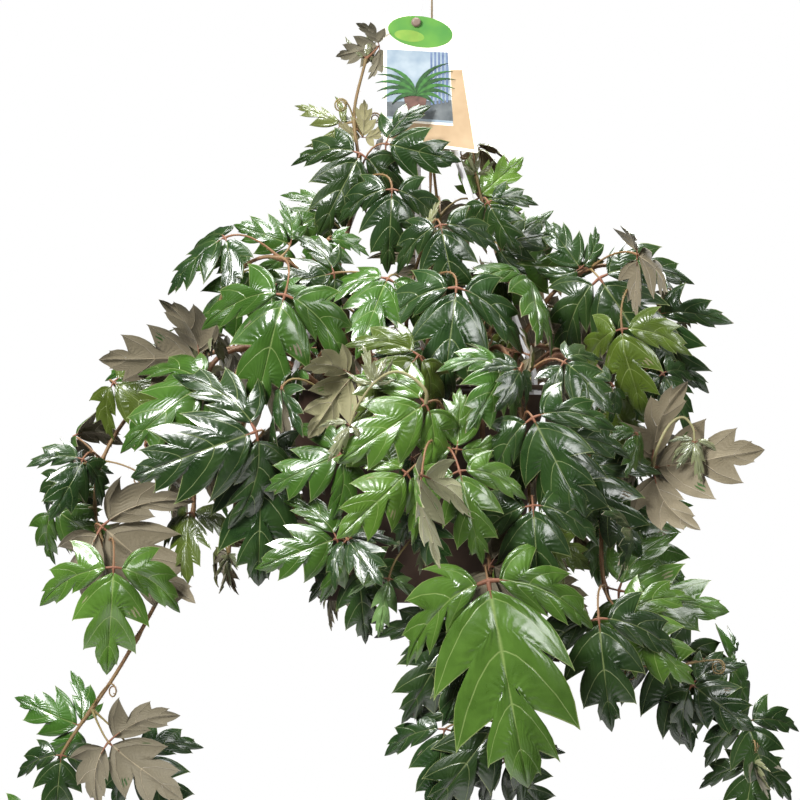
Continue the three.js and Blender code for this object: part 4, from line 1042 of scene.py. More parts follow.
def look_colours(look, draw):
    """The look's two colours, a little lighter or darker and yellower or bluer from leaf to leaf."""
    top, under = (linear(colour) for colour in LOOKS[look])
    shade = 0.82 + 0.4 * draw()
    warm = 0.94 + 0.14 * draw()
    vary = lambda c: (c[0] * shade * warm, c[1] * shade, c[2] * shade * (2 - warm), 1)
    return vary(top), vary(under)


print("looks:", ", ".join(LOOKS))

# %% [markdown]
# ## Stems, stalks and tendrils
# A stem tapers towards its tip and swells at each node. A stalk leaves its node, bends, and arrives at
# the leaf from below. Opposite some leaves a tendril reaches out and rolls up at its end like a watch
# spring, looking for something to hold.

# %% Stem, stalk and tendril lines
STEM_RADIUS = (1.9, 0.85)  # millimetres at its root and its tip
BARE_STEM = 0.6  # how thick a stem without leaves is, as a share of the others
KNOB = {"swell": 0.55, "half": 2.6}  # a node's extra thickness as a share, and how far it reaches
STALK_RADIUS = 0.75
LONG_STALK = 26  # the length from which a stalk arrives straight along its leaf
LINE_STEP = 4  # millimetres between a line's points
TENDRIL = {"sag": 5, "steps": 12, "pitch": 1.6}  # the steps of one turn, and how far a turn drifts
RIPE, GREEN_STEM = linear("#673824"), linear("#73763f")
STALK_GREEN, STALK_RED = linear("#767a3f"), linear("#703c29")


def stem_line(draft, stem, draw):
    """The stem itself, with its knobs, ripe at its root and greener to its tip."""
    bends = stem_bends(stem)
    count = len(stem["nodes"]) - 1
    length = count * STEM_STEP
    steps = max(8, round(length / LINE_STEP))
    slim = 1 if stem["grown"] else BARE_STEM
    spots, radii, colours = [], [], []
    for i in range(steps + 1):
        t = i / steps
        from_node = abs(t * count - round(t * count)) * STEM_STEP
        knob = 1 + KNOB["swell"] * math.exp(-(from_node / KNOB["half"])**2)
        spots.append(spline_point(bends, t))
        radii.append(between(STEM_RADIUS, t) * slim * knob)
        colours.append(mixed(RIPE, GREEN_STEM, t**2 * 0.5 + 0.18 * draw()))
    draft_line(draft, spots, radii, colours)


def stalk_line(draft, start, leaf, draw):
    """The stalk of a leaf, from its node to just under the middle of the blade."""
    at, (heading, _, upper) = leaf["at"], leaf["axes"]
    length = np.linalg.norm(at - start)
    if length < 1:
        return
    end = at + heading * 1.2 - upper * 0.7
    bend = end - heading * (0.45 if length >= LONG_STALK else 0.2) * length
    steps = max(4, round(length / LINE_STEP))
    shares = [i / steps for i in range(steps + 1)]
    spots = [bent(start, bend, end, t) for t in shares]
    radii = [STALK_RADIUS * (1.5 - 0.7 * min(1, 5 * t) + 0.5 * max(0, 8 * t - 7)) for t in shares]
    tint = mixed(STALK_GREEN, STALK_RED, 0.15 + 0.75 * draw())
    draft_line(draft, spots, radii, [mixed(tint, STALK_RED, 0.5 * t**3) for t in shares])


def tendril_line(draft, start, way, draw):
    """A tendril: a slack reach, then a coil that gets tighter."""
    way = unit(way)
    down = np.array((0.0, 0.0, -1.0))
    over = unit(np.cross(way, down))
    lift = np.cross(over, way)
    reach, turns, wide = 14 + 16 * draw(), 1.2 + 1.4 * draw(), 3 + 2.5 * draw()
    spots = [start + way * reach * t + down * TENDRIL["sag"] * t**2 for t in (0, 0.2, 0.4, 0.6, 0.8, 1)]
    middle = spots[-1] + lift * wide
    steps = round(turns * TENDRIL["steps"])
    for i in range(1, steps + 1):
        angle = 2 * math.pi * turns * i / steps
        radius = wide * (1 - 0.6 * i / steps)
        side = over * (TENDRIL["pitch"] * i / TENDRIL["steps"])
        spots.append(middle + (way * math.sin(angle) - lift * math.cos(angle)) * radius + side)
    radii = [0.55 - 0.25 * i / len(spots) for i in range(len(spots))]
    tint = mixed(STALK_GREEN, RIPE, 0.3 + 0.5 * draw())
    draft_line(draft, spots, radii, [tint] * len(spots))


print("a stem's knobs swell it to", round(STEM_RADIUS[0] * (1 + KNOB["swell"]), 2), "mm")

# %% [markdown]
# ## Small leaves inside the plant
# The plain solids hold the leaves that make its shape. A real plant has more, small ones that fill the
# shade between them. Each is tried at a node in a few drawn positions, and grows where it touches
# neither a solid nor an earlier one, and hardly shows beyond the large leaves from the front or from
# the side. A tree of boxes, a BVH, makes these tests quick.

# %% Small inner leaves
INNER_TRIES = 24
INNER_EACH = 4  # leaves that are tried for at each node
INNER_LENGTH = (26, 58)
INNER_AWAY = (5, 35)  # millimetres from its node
INNER_SPREAD = {"place": 130, "turn": 50, "aim": 150, "face": 60}  # degrees, from end to end
INNER_NOD = (-10, 40)
INNER_RISE = (-0.35, 0.55)
INNER_SHOWING = 0.2  # the share of an inner leaf that may show beyond the solids
# The plain stand-in of an inner leaf: its layers in millimetres, and its outlines of (along, out).
PROBE_LIFTS = (-2.2, 0, 2.2)
PROBE_EDGES = {0: [(0, 0), (0.48, 0.34), (0.75, 0.22), (1, 0), (0.75, -0.22), (0.48, -0.34)],
               1: [(0, 0), (0.4, 0.36), (0.7, 0.24), (1, 0), (0.75, -0.14), (0.5, -0.16)]}


def probe_faces(leaf):
    """A plain leaf in three layers, which stands for the room that it needs."""
    spots, faces = [], []
    for lift in PROBE_LIFTS:
        for side in (0, 1, -1):
            rim = [blade_point(side, a, o) * 1.06 for a, o in PROBE_EDGES[abs(side)]]
            middle = blade_point(side, 0.5, 0)
            first = len(spots)
            for point in [middle, *rim]:
                steps = point * leaf["length"] + np.array((0, 0, lift))
                spots.append(Vector((leaf["at"] + steps @ leaf["axes"]) * MM))
            faces += [(first, first + k + 1, first + (k + 1) % 6 + 1) for k in range(6)]
    return spots, faces


def solids_tree():
    """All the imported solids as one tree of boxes."""
    spots, faces = [], []
    for node in frame["nodes"].values():
        first = len(spots)
        spots += [corner.co.copy() for corner in node.data.vertices]
        faces += [[first + i for i in face.vertices] for face in node.data.polygons]
    return BVHTree.FromPolygons(spots, faces)


solid_room = solids_tree()
lowest, highest = solids_box
grown_rooms = []


def showing(spots):
    """The share of points with no solid before or behind them, from the front or from the side."""
    clear = 0
    spots = spots[::6]
    for spot in spots:
        for axis in (Vector((1, 0, 0)), Vector((0, 1, 0))):
            seen = [solid_room.ray_cast(spot, way)[0] is None for way in (axis, -axis)]
            clear += all(seen)
    return clear / (2 * len(spots))


def fits(leaf):
    """Whether a leaf stays in the plant's box and touches nothing."""
    spots, faces = probe_faces(leaf)
    for spot in spots:
        if any(spot[k] < lowest[k] or spot[k] > highest[k] for k in range(3)):
            return False
    if showing(spots) > INNER_SHOWING:
        return False
    room = BVHTree.FromPolygons(spots, faces)
    if room.overlap(solid_room):
        return False
    for at, length, other in grown_rooms:
        if np.linalg.norm(at - leaf["at"]) < 1.2 * (length + leaf["length"]) and room.overlap(other):
            return False
    grown_rooms.append((leaf["at"], leaf["length"], room))
    return True


def try_inner_leaf(nodes, node, draw):
    """A small leaf at this node that fits, or None."""
    x, y = nodes[node][:2]
    outward = math.degrees(math.atan2(y, x))
    for turn_number in range(INNER_TRIES):
        growth = 1 - turn_number / INNER_TRIES
        turn = outward + INNER_SPREAD["place"] * (draw() - 0.5)
        way = np.array(round_point(turn, 1, between(INNER_RISE, draw())))
        place = nodes[node] + way * between(INNER_AWAY, draw())
        length = between(INNER_LENGTH, growth * (0.5 + 0.5 * draw()))
        axes = leaf_axes(turn + INNER_SPREAD["turn"] * (draw() - 0.5),
                         FRONT + INNER_SPREAD["aim"] * (draw() - 0.5), between(INNER_NOD, draw()),
                         INNER_SPREAD["face"] * (draw() - 0.5))
        leaf = {"at": place, "axes": axes, "length": length, "node": node}
        if fits(leaf):
            return leaf
    return None


INNER_LOOKS = ("dark", "dark", "middle", "dark", "bright", "middle", "olive")
inner_draw = draw_from(907)
for stem in STEMS:
    stem["inner"] = []
    if not stem["grown"]:
        continue
    first = math.ceil(stem.get("leafy_from", LEAFY_FROM) * (len(stem["nodes"]) - 1))
    for node in range(first, len(stem["nodes"])):
        for _ in range(INNER_EACH):
            leaf = try_inner_leaf(stem["nodes"], node, inner_draw)
            if leaf:
                look = INNER_LOOKS[int(inner_draw() * len(INNER_LOOKS))]
                stem["inner"].append(leaf | {"look": look})
print("small inner leaves:", sum(len(stem["inner"]) for stem in STEMS))

# %% [markdown]
# ## A tree of nodes that dresses a stem
# Geometry Nodes suit a plant, because it is one rule used many times. On each lone point the tree puts
# the blade with the point's number, turned and sized by the point's attributes. Each line becomes a
# round tube of its own thickness, strewn with small hairs. Realize Instances turns the copies into
# real mesh, and Set Material paints each part by its finish number.

# %% The dressing tree
def named(tree, name, data_type):
    """The value of a named attribute, as a field."""
    node = add_node(tree, "GeometryNodeInputNamedAttribute", {"Name": name}, data_type=data_type)
    return next(out for out in node.outputs if out.enabled)


def new_geometry_tree(name, sockets):
    """An empty tree with named inputs, and its first and last nodes."""
    tree = bpy.data.node_groups.new(name, "GeometryNodeTree")
    for label, kind in ({"Geometry": "Geometry"} | sockets).items():
        tree.interface.new_socket(label, in_out="INPUT", socket_type="NodeSocket" + kind)
    tree.interface.new_socket("Geometry", in_out="OUTPUT", socket_type="NodeSocketGeometry")
    return tree, add_node(tree, "NodeGroupInput").outputs, add_node(tree, "NodeGroupOutput")


def marked(tree, geometry, number):
    """The geometry with a finish number on its faces."""
    inputs = {"Geometry": geometry, "Name": "finish", "Value": number}
    settings = {"data_type": "INT", "domain": "FACE"}
    return result_of(tree, "GeometryNodeStoreNamedAttribute", inputs, **settings)


def realized(tree, geometry):
    """The geometry with its copies turned into real mesh."""
    return result_of(tree, "GeometryNodeRealizeInstances", {"Geometry": geometry})


def painted(tree, geometry, material, number=None):
    """The geometry with a material, or with it on the faces of one finish number."""
    inputs = {"Geometry": geometry, "Material": material}
    if number is not None:
        numbers = {2: named(tree, "finish", "INT"), 3: number}
        settings = {"data_type": "INT", "operation": "EQUAL"}
        inputs["Selection"] = result_of(tree, "FunctionNodeCompare", numbers, **settings)
    return result_of(tree, "GeometryNodeSetMaterial", inputs)


def turned_by(tree, angles):
    """A rotation from three angles."""
    return result_of(tree, "FunctionNodeEulerToRotation", {0: angles})


def random_angles(tree, low, high, seed):
    """A rotation by three random angles for each point."""
    inputs = {0: low, 1: high, "Seed": seed}
    return turned_by(tree, result_of(tree, "FunctionNodeRandomValue", inputs, data_type="FLOAT_VECTOR"))


def random_size(tree, low, high, seed):
    """A random number for each point."""
    inputs = {2: low, 3: high, "Seed": seed}
    return add_node(tree, "FunctionNodeRandomValue", inputs, data_type="FLOAT").outputs[1]


def copies(tree, points, thing, turn, size, **choice):
    """Copies of a thing on points."""
    inputs = {"Points": points, "Instance": thing, "Rotation": turn, "Scale": size} | choice
    return result_of(tree, "GeometryNodeInstanceOnPoints", inputs)


def tube(tree, lines, sides):
    """Round tubes along the lines, as thick as each point says."""
    curve = result_of(tree, "GeometryNodeMeshToCurve", {"Mesh": lines})
    ring = add_node(tree, "GeometryNodeCurvePrimitiveCircle", {"Resolution": sides, "Radius": 1.0})
    inputs = {"Curve": curve, "Profile Curve": ring.outputs[0], "Fill Caps": True,
              "Scale": named(tree, "thick", "FLOAT")}
    skin = result_of(tree, "GeometryNodeCurveToMesh", inputs)
    return result_of(tree, "GeometryNodeSetShadeSmooth", {"Geometry": skin}, domain="FACE")


def hairs_on(tree, skin, density, length, seed):
    """Small cones that stand on a skin, each leaning its own way."""
    inputs = {"Mesh": skin, "Density": density, "Seed": seed}
    strewn = add_node(tree, "GeometryNodeDistributePointsOnFaces", inputs)
    inputs = {"Vertices": 3, "Radius Top": 0.0, "Radius Bottom": 0.07 * MM, "Depth": length}
    hair = result_of(tree, "GeometryNodeMeshCone", inputs, fill_type="NONE")
    lean = random_angles(tree, (-0.7, -0.7, 0), (0.7, 0.7, 0), seed)
    inputs = {"Rotation": strewn.outputs["Rotation"], "Rotate By": lean}
    turn = result_of(tree, "FunctionNodeRotateRotation", inputs, rotation_space="LOCAL")
    size = random_size(tree, 0.5, 1.2, seed)
    return realized(tree, copies(tree, strewn.outputs["Points"], hair, turn, size))


DRESS_SOCKETS = {
    "Blades": "Collection", "Tube sides": "Int", "Hair density": "Float", "Hair length": "Float",
    "Seed": "Int", "Bark": "Material", "Hair": "Material", "Upper side": "Material",
    "Underside": "Material",
}
dress, given, result = new_geometry_tree("dress a leafy stem", DRESS_SOCKETS)
inputs = {"Mesh": given["Geometry"], "Selection": named(dress, "is_leaf", "BOOLEAN")}
leaf_points = result_of(dress, "GeometryNodeMeshToPoints", inputs)
inputs = {"Collection": given["Blades"], "Separate Children": True, "Reset Children": True}
blade_choice = result_of(dress, "GeometryNodeCollectionInfo", inputs)
turn = turned_by(dress, named(dress, "turn", "FLOAT_VECTOR"))
choice = {"Pick Instance": True, "Instance Index": named(dress, "blade", "INT")}
leaves = copies(dress, leaf_points, blade_choice, turn, named(dress, "size", "FLOAT"), **choice)
skin = tube(dress, given["Geometry"], given["Tube sides"])
fur = hairs_on(dress, skin, given["Hair density"], given["Hair length"], given["Seed"])
join = add_node(dress, "GeometryNodeJoinGeometry")
for part in (marked(dress, fur, HAIR), marked(dress, skin, BARK), leaves):
    dress.links.new(part, join.inputs[0])
whole = realized(dress, join.outputs[0])
for number, label in ((BARK, "Bark"), (HAIR, "Hair"), (UPPER, "Upper side"), (UNDER, "Underside")):
    whole = painted(dress, whole, given[label], number)
dress.links.new(whole, result.inputs[0])
print("nodes in the dressing tree:", len(dress.nodes))

# %% [markdown]
# A tree runs as a modifier on the draft. Its values are set by each input's identifier before it first
# runs, and the evaluated result is copied out as a plain mesh, so that no modifier is left.

# %% Running a tree
def grown_object(name, draft_mesh, tree, values):
    """The plain mesh object that a tree makes of a draft."""
    carrier = placed(name + "_draft", draft_mesh)
    modifier = carrier.modifiers.new("grow", "NODES")
    modifier.node_group = tree
    for item in tree.interface.items_tree:
        if item.item_type == "SOCKET" and item.in_out == "INPUT" and item.name in values:
            modifier[item.identifier] = values[item.name]
    depsgraph = bpy.context.evaluated_depsgraph_get()
    mesh = bpy.data.meshes.new_from_object(carrier.evaluated_get(depsgraph))
    mesh.name = name
    bpy.data.objects.remove(carrier)
    return placed(name, mesh)


def draft_mesh(name, draft):
    """The draft as a mesh of points and edges with its attributes."""
    mesh = bpy.data.meshes.new(name)
    mesh.from_pydata(draft["spots"], draft["links"], [])
    for label, (kind, field, _) in ATTRIBUTES.items():
        values = np.array(draft[label]).ravel()
        mesh.attributes.new(label, kind, "POINT").data.foreach_set(field, values)
    return mesh


# %% [markdown]
# ## Growing every stem
# Now each stem is drafted and dressed: its line, a stalk and a blade for each leaf, a tendril opposite
# some leaves, and two silver buds at its tip, where the youngest leaves are still folded and full of
# hairs. Two soft young shoots also arch out over the front leaves.

# %% Leafy stems
TENDRIL_CHANCE = 0.3
BUD_LENGTH = 16
HAIRS = {"Hair density": 380000.0, "Hair length": 1.5 * MM}


def pick(numbers, draw):
    return numbers[int(draw() * len(numbers))]


def blade_for(leaf, draw):
    """Which blade suits a leaf that the solids show."""
    if leaf["look"] in ("mint", "young"):
        return YOUNG_BLADE
    if leaf["length"] >= LONG_FROM:
        return pick(LONG_BLADES, draw)
    return pick(LARGE_BLADES if leaf["length"] >= LARGE_FROM else SMALL_BLADES, draw)


# A shoot is a line of places, across and up, in millimetres, and bears leaves that are still pleated:
# the place in the line, heading and length.
SHOOTS = {
    "front_middle": {"line": [(5, -271), (-3, -263), (-13, -260), (-24, -266), (-34, -280), (-38, -290)],
                     "leaves": [(4, (-0.3, 0.95), 22), (4, (0.45, 0.9), 16), (6, (-0.5, -0.85), 24)]},
    "right_low": {"line": [(140, -305), (147, -291), (155, -286), (161, -292), (162, -300)],
                  "leaves": [(5, (0.15, -1.0), 24), (5, (-0.5, -0.85), 19)]},
}
SHOOT_LIFT = 7  # millimetres from the foremost leaf under the shoot
SHOOT_RADIUS = (1.1, 0.6)
SHOOT_GREEN = linear("#85895f")


def shoot_lines(draft, stem, shoot, draw):
    """A shoot from the foot of the nearest leaf, in one upright plane before the leaves it crosses."""
    front = Vector((0, 1, 0))
    hits = [solid_room.ray_cast(Vector((x * MM, -1, z * MM)), front)[0] for x, z in shoot["line"]]
    plane = min(hit[1] for hit in hits if hit) / MM - SHOOT_LIFT
    bends = [np.array((x, plane, z)) for x, z in shoot["line"]]
    feet = [leaf["at"] for leaf in stem["grown"]]
    bends.insert(0, min(feet, key=lambda foot: np.linalg.norm(foot - bends[0])))
    steps = 4 * len(bends)
    shares = [i / steps for i in range(steps + 1)]
    radii = [between(SHOOT_RADIUS, t) for t in shares]
    draft_line(draft, [spline_point(bends, t) for t in shares], radii, [SHOOT_GREEN] * len(shares))
    for place, (x, z), length in shoot["leaves"]:
        heading = unit(np.array((x, -0.25, z)))
        over = unit(np.cross(heading, np.array((0.0, 1.0, 0.3 * draw()))))
        axes = np.array((heading, over, np.cross(heading, over)))
        leaf = {"at": bends[place], "length": length, "axes": axes}
        draft_leaf(draft, leaf, BUD_BLADE, *look_colours("silver", draw))


def draft_stem(stem, owner):
    """The whole stem as a draft."""
    draw = draw_from(300 + 7 * owner)
    draft = new_draft()
    stem_line(draft, stem, draw)
    nodes = stem["nodes"]
    for leaf in stem["grown"]:
        stalk_line(draft, nodes[leaf["node"]], leaf, draw)
        draft_leaf(draft, leaf, blade_for(leaf, draw), *look_colours(leaf["look"], draw))
        if draw() < TENDRIL_CHANCE:
            away = nodes[leaf["node"]] - leaf["at"] + np.array((0, 0, 4 + 10 * draw()))
            tendril_line(draft, nodes[leaf["node"]], away, draw)
    for leaf in stem["inner"]:
        stalk_line(draft, nodes[leaf["node"]], leaf, draw)
        draft_leaf(draft, leaf, pick(PLAIN_BLADES, draw), *look_colours(leaf["look"], draw))
    way = unit(nodes[-1] - nodes[-2])
    if stem["grown"]:
        for turn in (draw() * 360, draw() * 360):
            aim = leaf_axes(turn, -70 if way[2] < 0 else 70, 25, 0)
            heading = unit(aim[0] * 0.6 + way)
            upper = unit(aim[2] - heading * heading.dot(aim[2]))
            bud = {"at": nodes[-1] + way * 1.0, "length": BUD_LENGTH + 10 * draw(),
                   "axes": np.array((heading, np.cross(upper, heading), upper))}
            draft_leaf(draft, bud, BUD_BLADE, *look_colours("silver", draw))
    if stem["name"] in SHOOTS:
        shoot_lines(draft, stem, SHOOTS[stem["name"]], draw)
    return draft


triangles = 0
for owner, stem in enumerate(STEMS):
    node = "vine_" + stem["name"]
    name = "leafy_stem_" + stem["name"]
    values = {"Blades": blades, "Tube sides": 7, "Seed": 50 + owner, "Bark": STEM_BARK,
              "Hair": VINE_HAIR, "Upper side": LEAF_UPPER, "Underside": LEAF_UNDER} | HAIRS
    piece = grown_object(name, draft_mesh(name, draft_stem(stem, owner)), dress, values)
    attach(piece, "root")
    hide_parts(node)
    piece_triangles = sum(len(face.vertices) - 2 for face in piece.data.polygons)
    triangles += piece_triangles
    print(name, piece_triangles, "triangles")
for blade in list(blades.objects):
    bpy.data.objects.remove(blade)
print("triangles of all stems:", triangles)

# %% [markdown]
# ## Turned plastic: the pot
# The pot is moulded in one piece, so it is a body of revolution: a profile spun round its axis, with
# its corners a little round, because a mould has no sharp ones. Three slots in its rim take the arms of
# the hanger, and four holes in its base let water out. Boolean modifiers cut them.

# %% Pot
SPIN_STEPS = 96


def rounded(profile, radius):
    """A profile with its corners replaced by short curves."""
    points = [profile[0]]
    for before, corner, after in zip(profile, profile[1:], profile[2:]):
        b, c, a = (np.array(p, dtype=float) for p in (before, corner, after))
        reach = min(radius, np.linalg.norm(b - c) / 2.2, np.linalg.norm(a - c) / 2.2)
        start, end = c + unit(b - c) * reach, c + unit(a - c) * reach
        points += [tuple(bent(start, c, end, t)) for t in (0, 0.33, 0.67, 1)]
    return points + [profile[-1]]


def spun_mesh(name, profile, steps=SPIN_STEPS):
    """A closed body from a profile of (radius, height) that starts and ends on the axis. Its faces
    come in a fixed order, so that what is strewn on them falls on the same spots in each run."""
    (_, low), *rings, (_, high) = profile
    turns = [2 * math.pi * k / steps for k in range(steps)]
    spots = [(r * MM * math.cos(t), r * MM * math.sin(t), h * MM) for r, h in rings for t in turns]
    first, last = len(spots), (len(rings) - 1) * steps
    faces = []
    for k, n in zip(range(steps), [*range(1, steps), 0]):
        faces += [(first, n, k), (last + k, last + n, first + 1)]
        faces += [(a + k, a + n, a + steps + n, a + steps + k) for a in range(0, last, steps)]
    mesh = bpy.data.meshes.new(name)
    mesh.from_pydata([*spots, (0, 0, low * MM), (0, 0, high * MM)], [], faces)
    return mesh


def add_piece(name, mesh, material, node):
    """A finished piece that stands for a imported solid."""
    piece = placed(name, mesh)
    mesh.materials.clear()
    mesh.materials.append(material)
    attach(piece, "root")
    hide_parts(node)
    return piece


def smoothed(mesh, angle=40):
    """Smooth shading, except across edges sharper than the angle in degrees."""
    bm = bmesh.new()
    bm.from_mesh(mesh)
    for face in bm.faces:
        face.smooth = True
    for edge in bm.edges:
        edge.smooth = not edge.is_manifold or edge.calc_face_angle(0) < math.radians(angle)
    bm.to_mesh(mesh)
    bm.free()
    return mesh


def bar_mesh(name, size, matrices):
    """A mesh of equal blocks, in metres, at each of the given places."""
    bm = bmesh.new()
    for matrix in matrices:
        bmesh.ops.create_cube(bm, size=1, matrix=matrix @ Matrix.Diagonal((*size, 1)))
    return mesh_from(name, bm)


def pin_mesh(name, radius, length, matrices, sides=32):
    """A mesh of equal round pins along their own z, in metres."""
    bm = bmesh.new()
    for matrix in matrices:
        bmesh.ops.create_cone(bm, cap_ends=True, segments=sides, radius1=radius, radius2=radius,
                              depth=length, matrix=matrix)
    return mesh_from(name, bm)


def cut(mesh, *cutter_meshes):
    """The mesh with the cutters taken out of it."""
    body = placed("body", mesh)
    cutters = []
    for cutter_mesh in cutter_meshes:
        cutter = placed("cutter", cutter_mesh)
        modifier = body.modifiers.new("cut", "BOOLEAN")
        modifier.operation, modifier.solver, modifier.object = "DIFFERENCE", "EXACT", cutter
        cutters.append(cutter)
    depsgraph = bpy.context.evaluated_depsgraph_get()
    result_mesh = bpy.data.meshes.new_from_object(body.evaluated_get(depsgraph))
    for item in [body, *cutters]:
        bpy.data.objects.remove(item)
    return result_mesh


def moulded_plastic(name, colour, worn, grain_mm, roughness):
    """Injection-moulded plastic: an even colour, a fine spark-eroded grain, and a soft shine that
    dust and handling make uneven."""
    material, tree, shader = new_material(name)
    dust = patches_of(tree, noise_of(tree, 22, 5.0), 2.5, -0.9)
    mix = tinted(tree, linear(colour), dust, 0.5, linear(worn))
    rough = math_of(tree, "MULTIPLY_ADD", dust, 0.18, roughness)
    grain = bumps_of(tree, (noise_of(tree, grain_mm), 0.35, 0.12))
    fill(tree, shader, {"Base Color": mix, "Roughness": rough, "IOR": 1.49, "Normal": grain})
    return material


POT_BOTTOM = POT["rim"] - POT["height"]
SLOT_RADIUS = 82
ARM_AZIMUTHS = (-152, -32, 88)
ARM_STRIP = {"width": 4, "thick": 2.6}
GAP = 0.4
DRAIN = {"count": 4, "radius": 4, "ring": 38}
CUT_DEEP = {"slot": 0.012, "drain": 0.01}  # metres, well through the plastic
# The pot's own brown, made darker still so that where it shows between the leaves it reads as the deep shade
# there: painted shade.
POT_PLASTIC = moulded_plastic("satin moulded polypropylene, brown", "#3a2a22", "#6a5648", 0.9, 0.45)


def turned_to(azimuth):
    return Matrix.Rotation(math.radians(azimuth), 4, "Z")


def pot_mesh():
    inner, inner_base = POT["wall_radius"] - POT["wall"], POT["base_radius"] - POT["wall"]
    under_rim = POT["rim"] - POT["flange"]
    profile = rounded([
        (0, POT_BOTTOM), (POT["base_radius"], POT_BOTTOM), (POT["wall_radius"], under_rim),
        (POT["rim_radius"], under_rim), (POT["rim_radius"], POT["rim"]), (inner, POT["rim"]),
        (inner_base, POT_BOTTOM + POT["wall"]), (0, POT_BOTTOM + POT["wall"]),
    ], 1.3)
    slot_size = [(ARM_STRIP[k] + 2 * GAP) * MM for k in ("thick", "width")] + [CUT_DEEP["slot"]]
    slot_place = Matrix.Translation((SLOT_RADIUS * MM, 0, POT["rim"] * MM))
    slots = bar_mesh("slots", slot_size, [turned_to(a) @ slot_place for a in ARM_AZIMUTHS])
    drain_place = Matrix.Translation((DRAIN["ring"] * MM, 0, POT_BOTTOM * MM))
    drains = [turned_to(i * 360 / DRAIN["count"]) @ drain_place for i in range(DRAIN["count"])]
    holes = pin_mesh("drains", DRAIN["radius"] * MM, CUT_DEEP["drain"], drains)
    return smoothed(cut(spun_mesh("pot", profile), slots, holes))


pot = add_piece("moulded_pot", pot_mesh(), POT_PLASTIC, "pot")
print("pot:", len(pot.data.polygons), "faces, base at", POT_BOTTOM)

# %% [markdown]
# ## Peat
# Potting soil is dark, fibrous and crumbly, with a few white grains of perlite. A lumpy disc makes its
# body, and Geometry Nodes strew crumbs over its top.

# %% Soil
def peat():
    """Moist peat: near-black brown crumbs and fibres, fully matt."""
    material, tree, shader = new_material("moist fibrous peat")
    inputs = {"Vector": object_spots(tree), "Scale": 1 / MM / 3.5}
    crumb = add_node(tree, "ShaderNodeTexVoronoi", inputs)
    shade = result_of(tree, "ShaderNodeSeparateColor", {"Color": crumb.outputs["Color"]})
    colour = ramp(tree, shade, [(0.0, "#1f1610"), (0.55, "#35261c"), (0.9, "#5a4331"), (1.0, "#75604a")])
    bumps = bumps_of(tree, (crumb.outputs["Distance"], 0.9, 1.6), (noise_of(tree, 2, 4.0), 0.7, 0.6))
    fill(tree, shader, {"Base Color": colour, "Roughness": 0.95, "Normal": bumps})
    return material


def perlite():
    """Expanded volcanic glass: chalk-white porous grains."""
    material, tree, shader = new_material("white perlite grain")
    pores = noise_of(tree, 0.7)
    colour = ramp(tree, pores, [(0.3, "#b9b2a4"), (0.7, "#efece4")])
    bumps = bumps_of(tree, (pores, 0.6, 0.3))
    fill(tree, shader, {"Base Color": colour, "Roughness": 0.9, "Normal": bumps})
    return material


PEAT, PERLITE = peat(), perlite()


def inside_radius(height):
    """The inside radius of the pot's wall at a height."""
    share = (height - POT_BOTTOM) / POT["height"]
    return POT["base_radius"] + (POT["wall_radius"] - POT["base_radius"]) * share - POT["wall"]


SOIL_RINGS = 14
LUMPS = {"high": 2.2, "close": 70}  # how high they are in millimetres, and how close together


def soil_mesh():
    low = POT_BOTTOM + POT["wall"] + GAP
    edge = inside_radius(SOIL_TOP) - 2 * GAP
    rings = [(edge * k / SOIL_RINGS, SOIL_TOP - (1 if k > SOIL_RINGS - 3 else 0))
             for k in range(SOIL_RINGS - 1, 0, -1)]
    profile = [(0, low), (inside_radius(low) - 3 * GAP, low), (edge, SOIL_TOP - 2), *rings, (0, SOIL_TOP)]
    mesh = spun_mesh("soil", profile, 72)
    for corner in mesh.vertices:
        if corner.co.z > (SOIL_TOP - 1.5) * MM and corner.co.xy.length < (edge - 2) * MM:
            corner.co.z += LUMPS["high"] * MM * noise.noise(corner.co * LUMPS["close"])
    return smoothed(mesh, 60)


CRUMB_SOCKETS = {"Density": "Float", "Smallest": "Float", "Largest": "Float", "Seed": "Int",
                 "Crumb": "Material"}
crumble, given, result = new_geometry_tree("strew crumbs", CRUMB_SOCKETS)
facing = result_of(crumble, "GeometryNodeInputNormal")
height = add_node(crumble, "ShaderNodeSeparateXYZ", {0: facing}).outputs[2]
inputs = {"Mesh": given["Geometry"], "Density": given["Density"], "Seed": given["Seed"],
          "Selection": math_of(crumble, "GREATER_THAN", height, 0.6)}
strewn = result_of(crumble, "GeometryNodeDistributePointsOnFaces", inputs)
grain = result_of(crumble, "GeometryNodeMeshIcoSphere", {"Radius": 1.0, "Subdivisions": 1})
tumble = random_angles(crumble, (0, 0, 0), (6, 6, 6), given["Seed"])
size = random_size(crumble, given["Smallest"], given["Largest"], given["Seed"])
crumbs = realized(crumble, copies(crumble, strewn, grain, tumble, size))
crumble.links.new(painted(crumble, crumbs, given["Crumb"]), result.inputs[0])

soil = add_piece("peat_soil", soil_mesh(), PEAT, "soil")
CRUMBS = [("peat_crumbs", 90000.0, 0.7, 2.0, 5, PEAT), ("perlite_grains", 6000.0, 0.8, 1.6, 6, PERLITE)]
for name, density, smallest, largest, seed, material in CRUMBS:
    values = {"Density": density, "Smallest": smallest * MM, "Largest": largest * MM, "Seed": seed,
              "Crumb": material}
    crumbs = grown_object(name, soil.data.copy(), crumble, values)
    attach(crumbs, "root")
    print(name, len(crumbs.data.polygons), "faces")

# %% [markdown]
# ## The hanger
# Hook and arms are strips of white plastic that follow a smooth path, so a path and a section are all
# that is needed. The tree below sweeps a rectangle with round corners along a line of points, with the
# width always lying across the plane of the path.

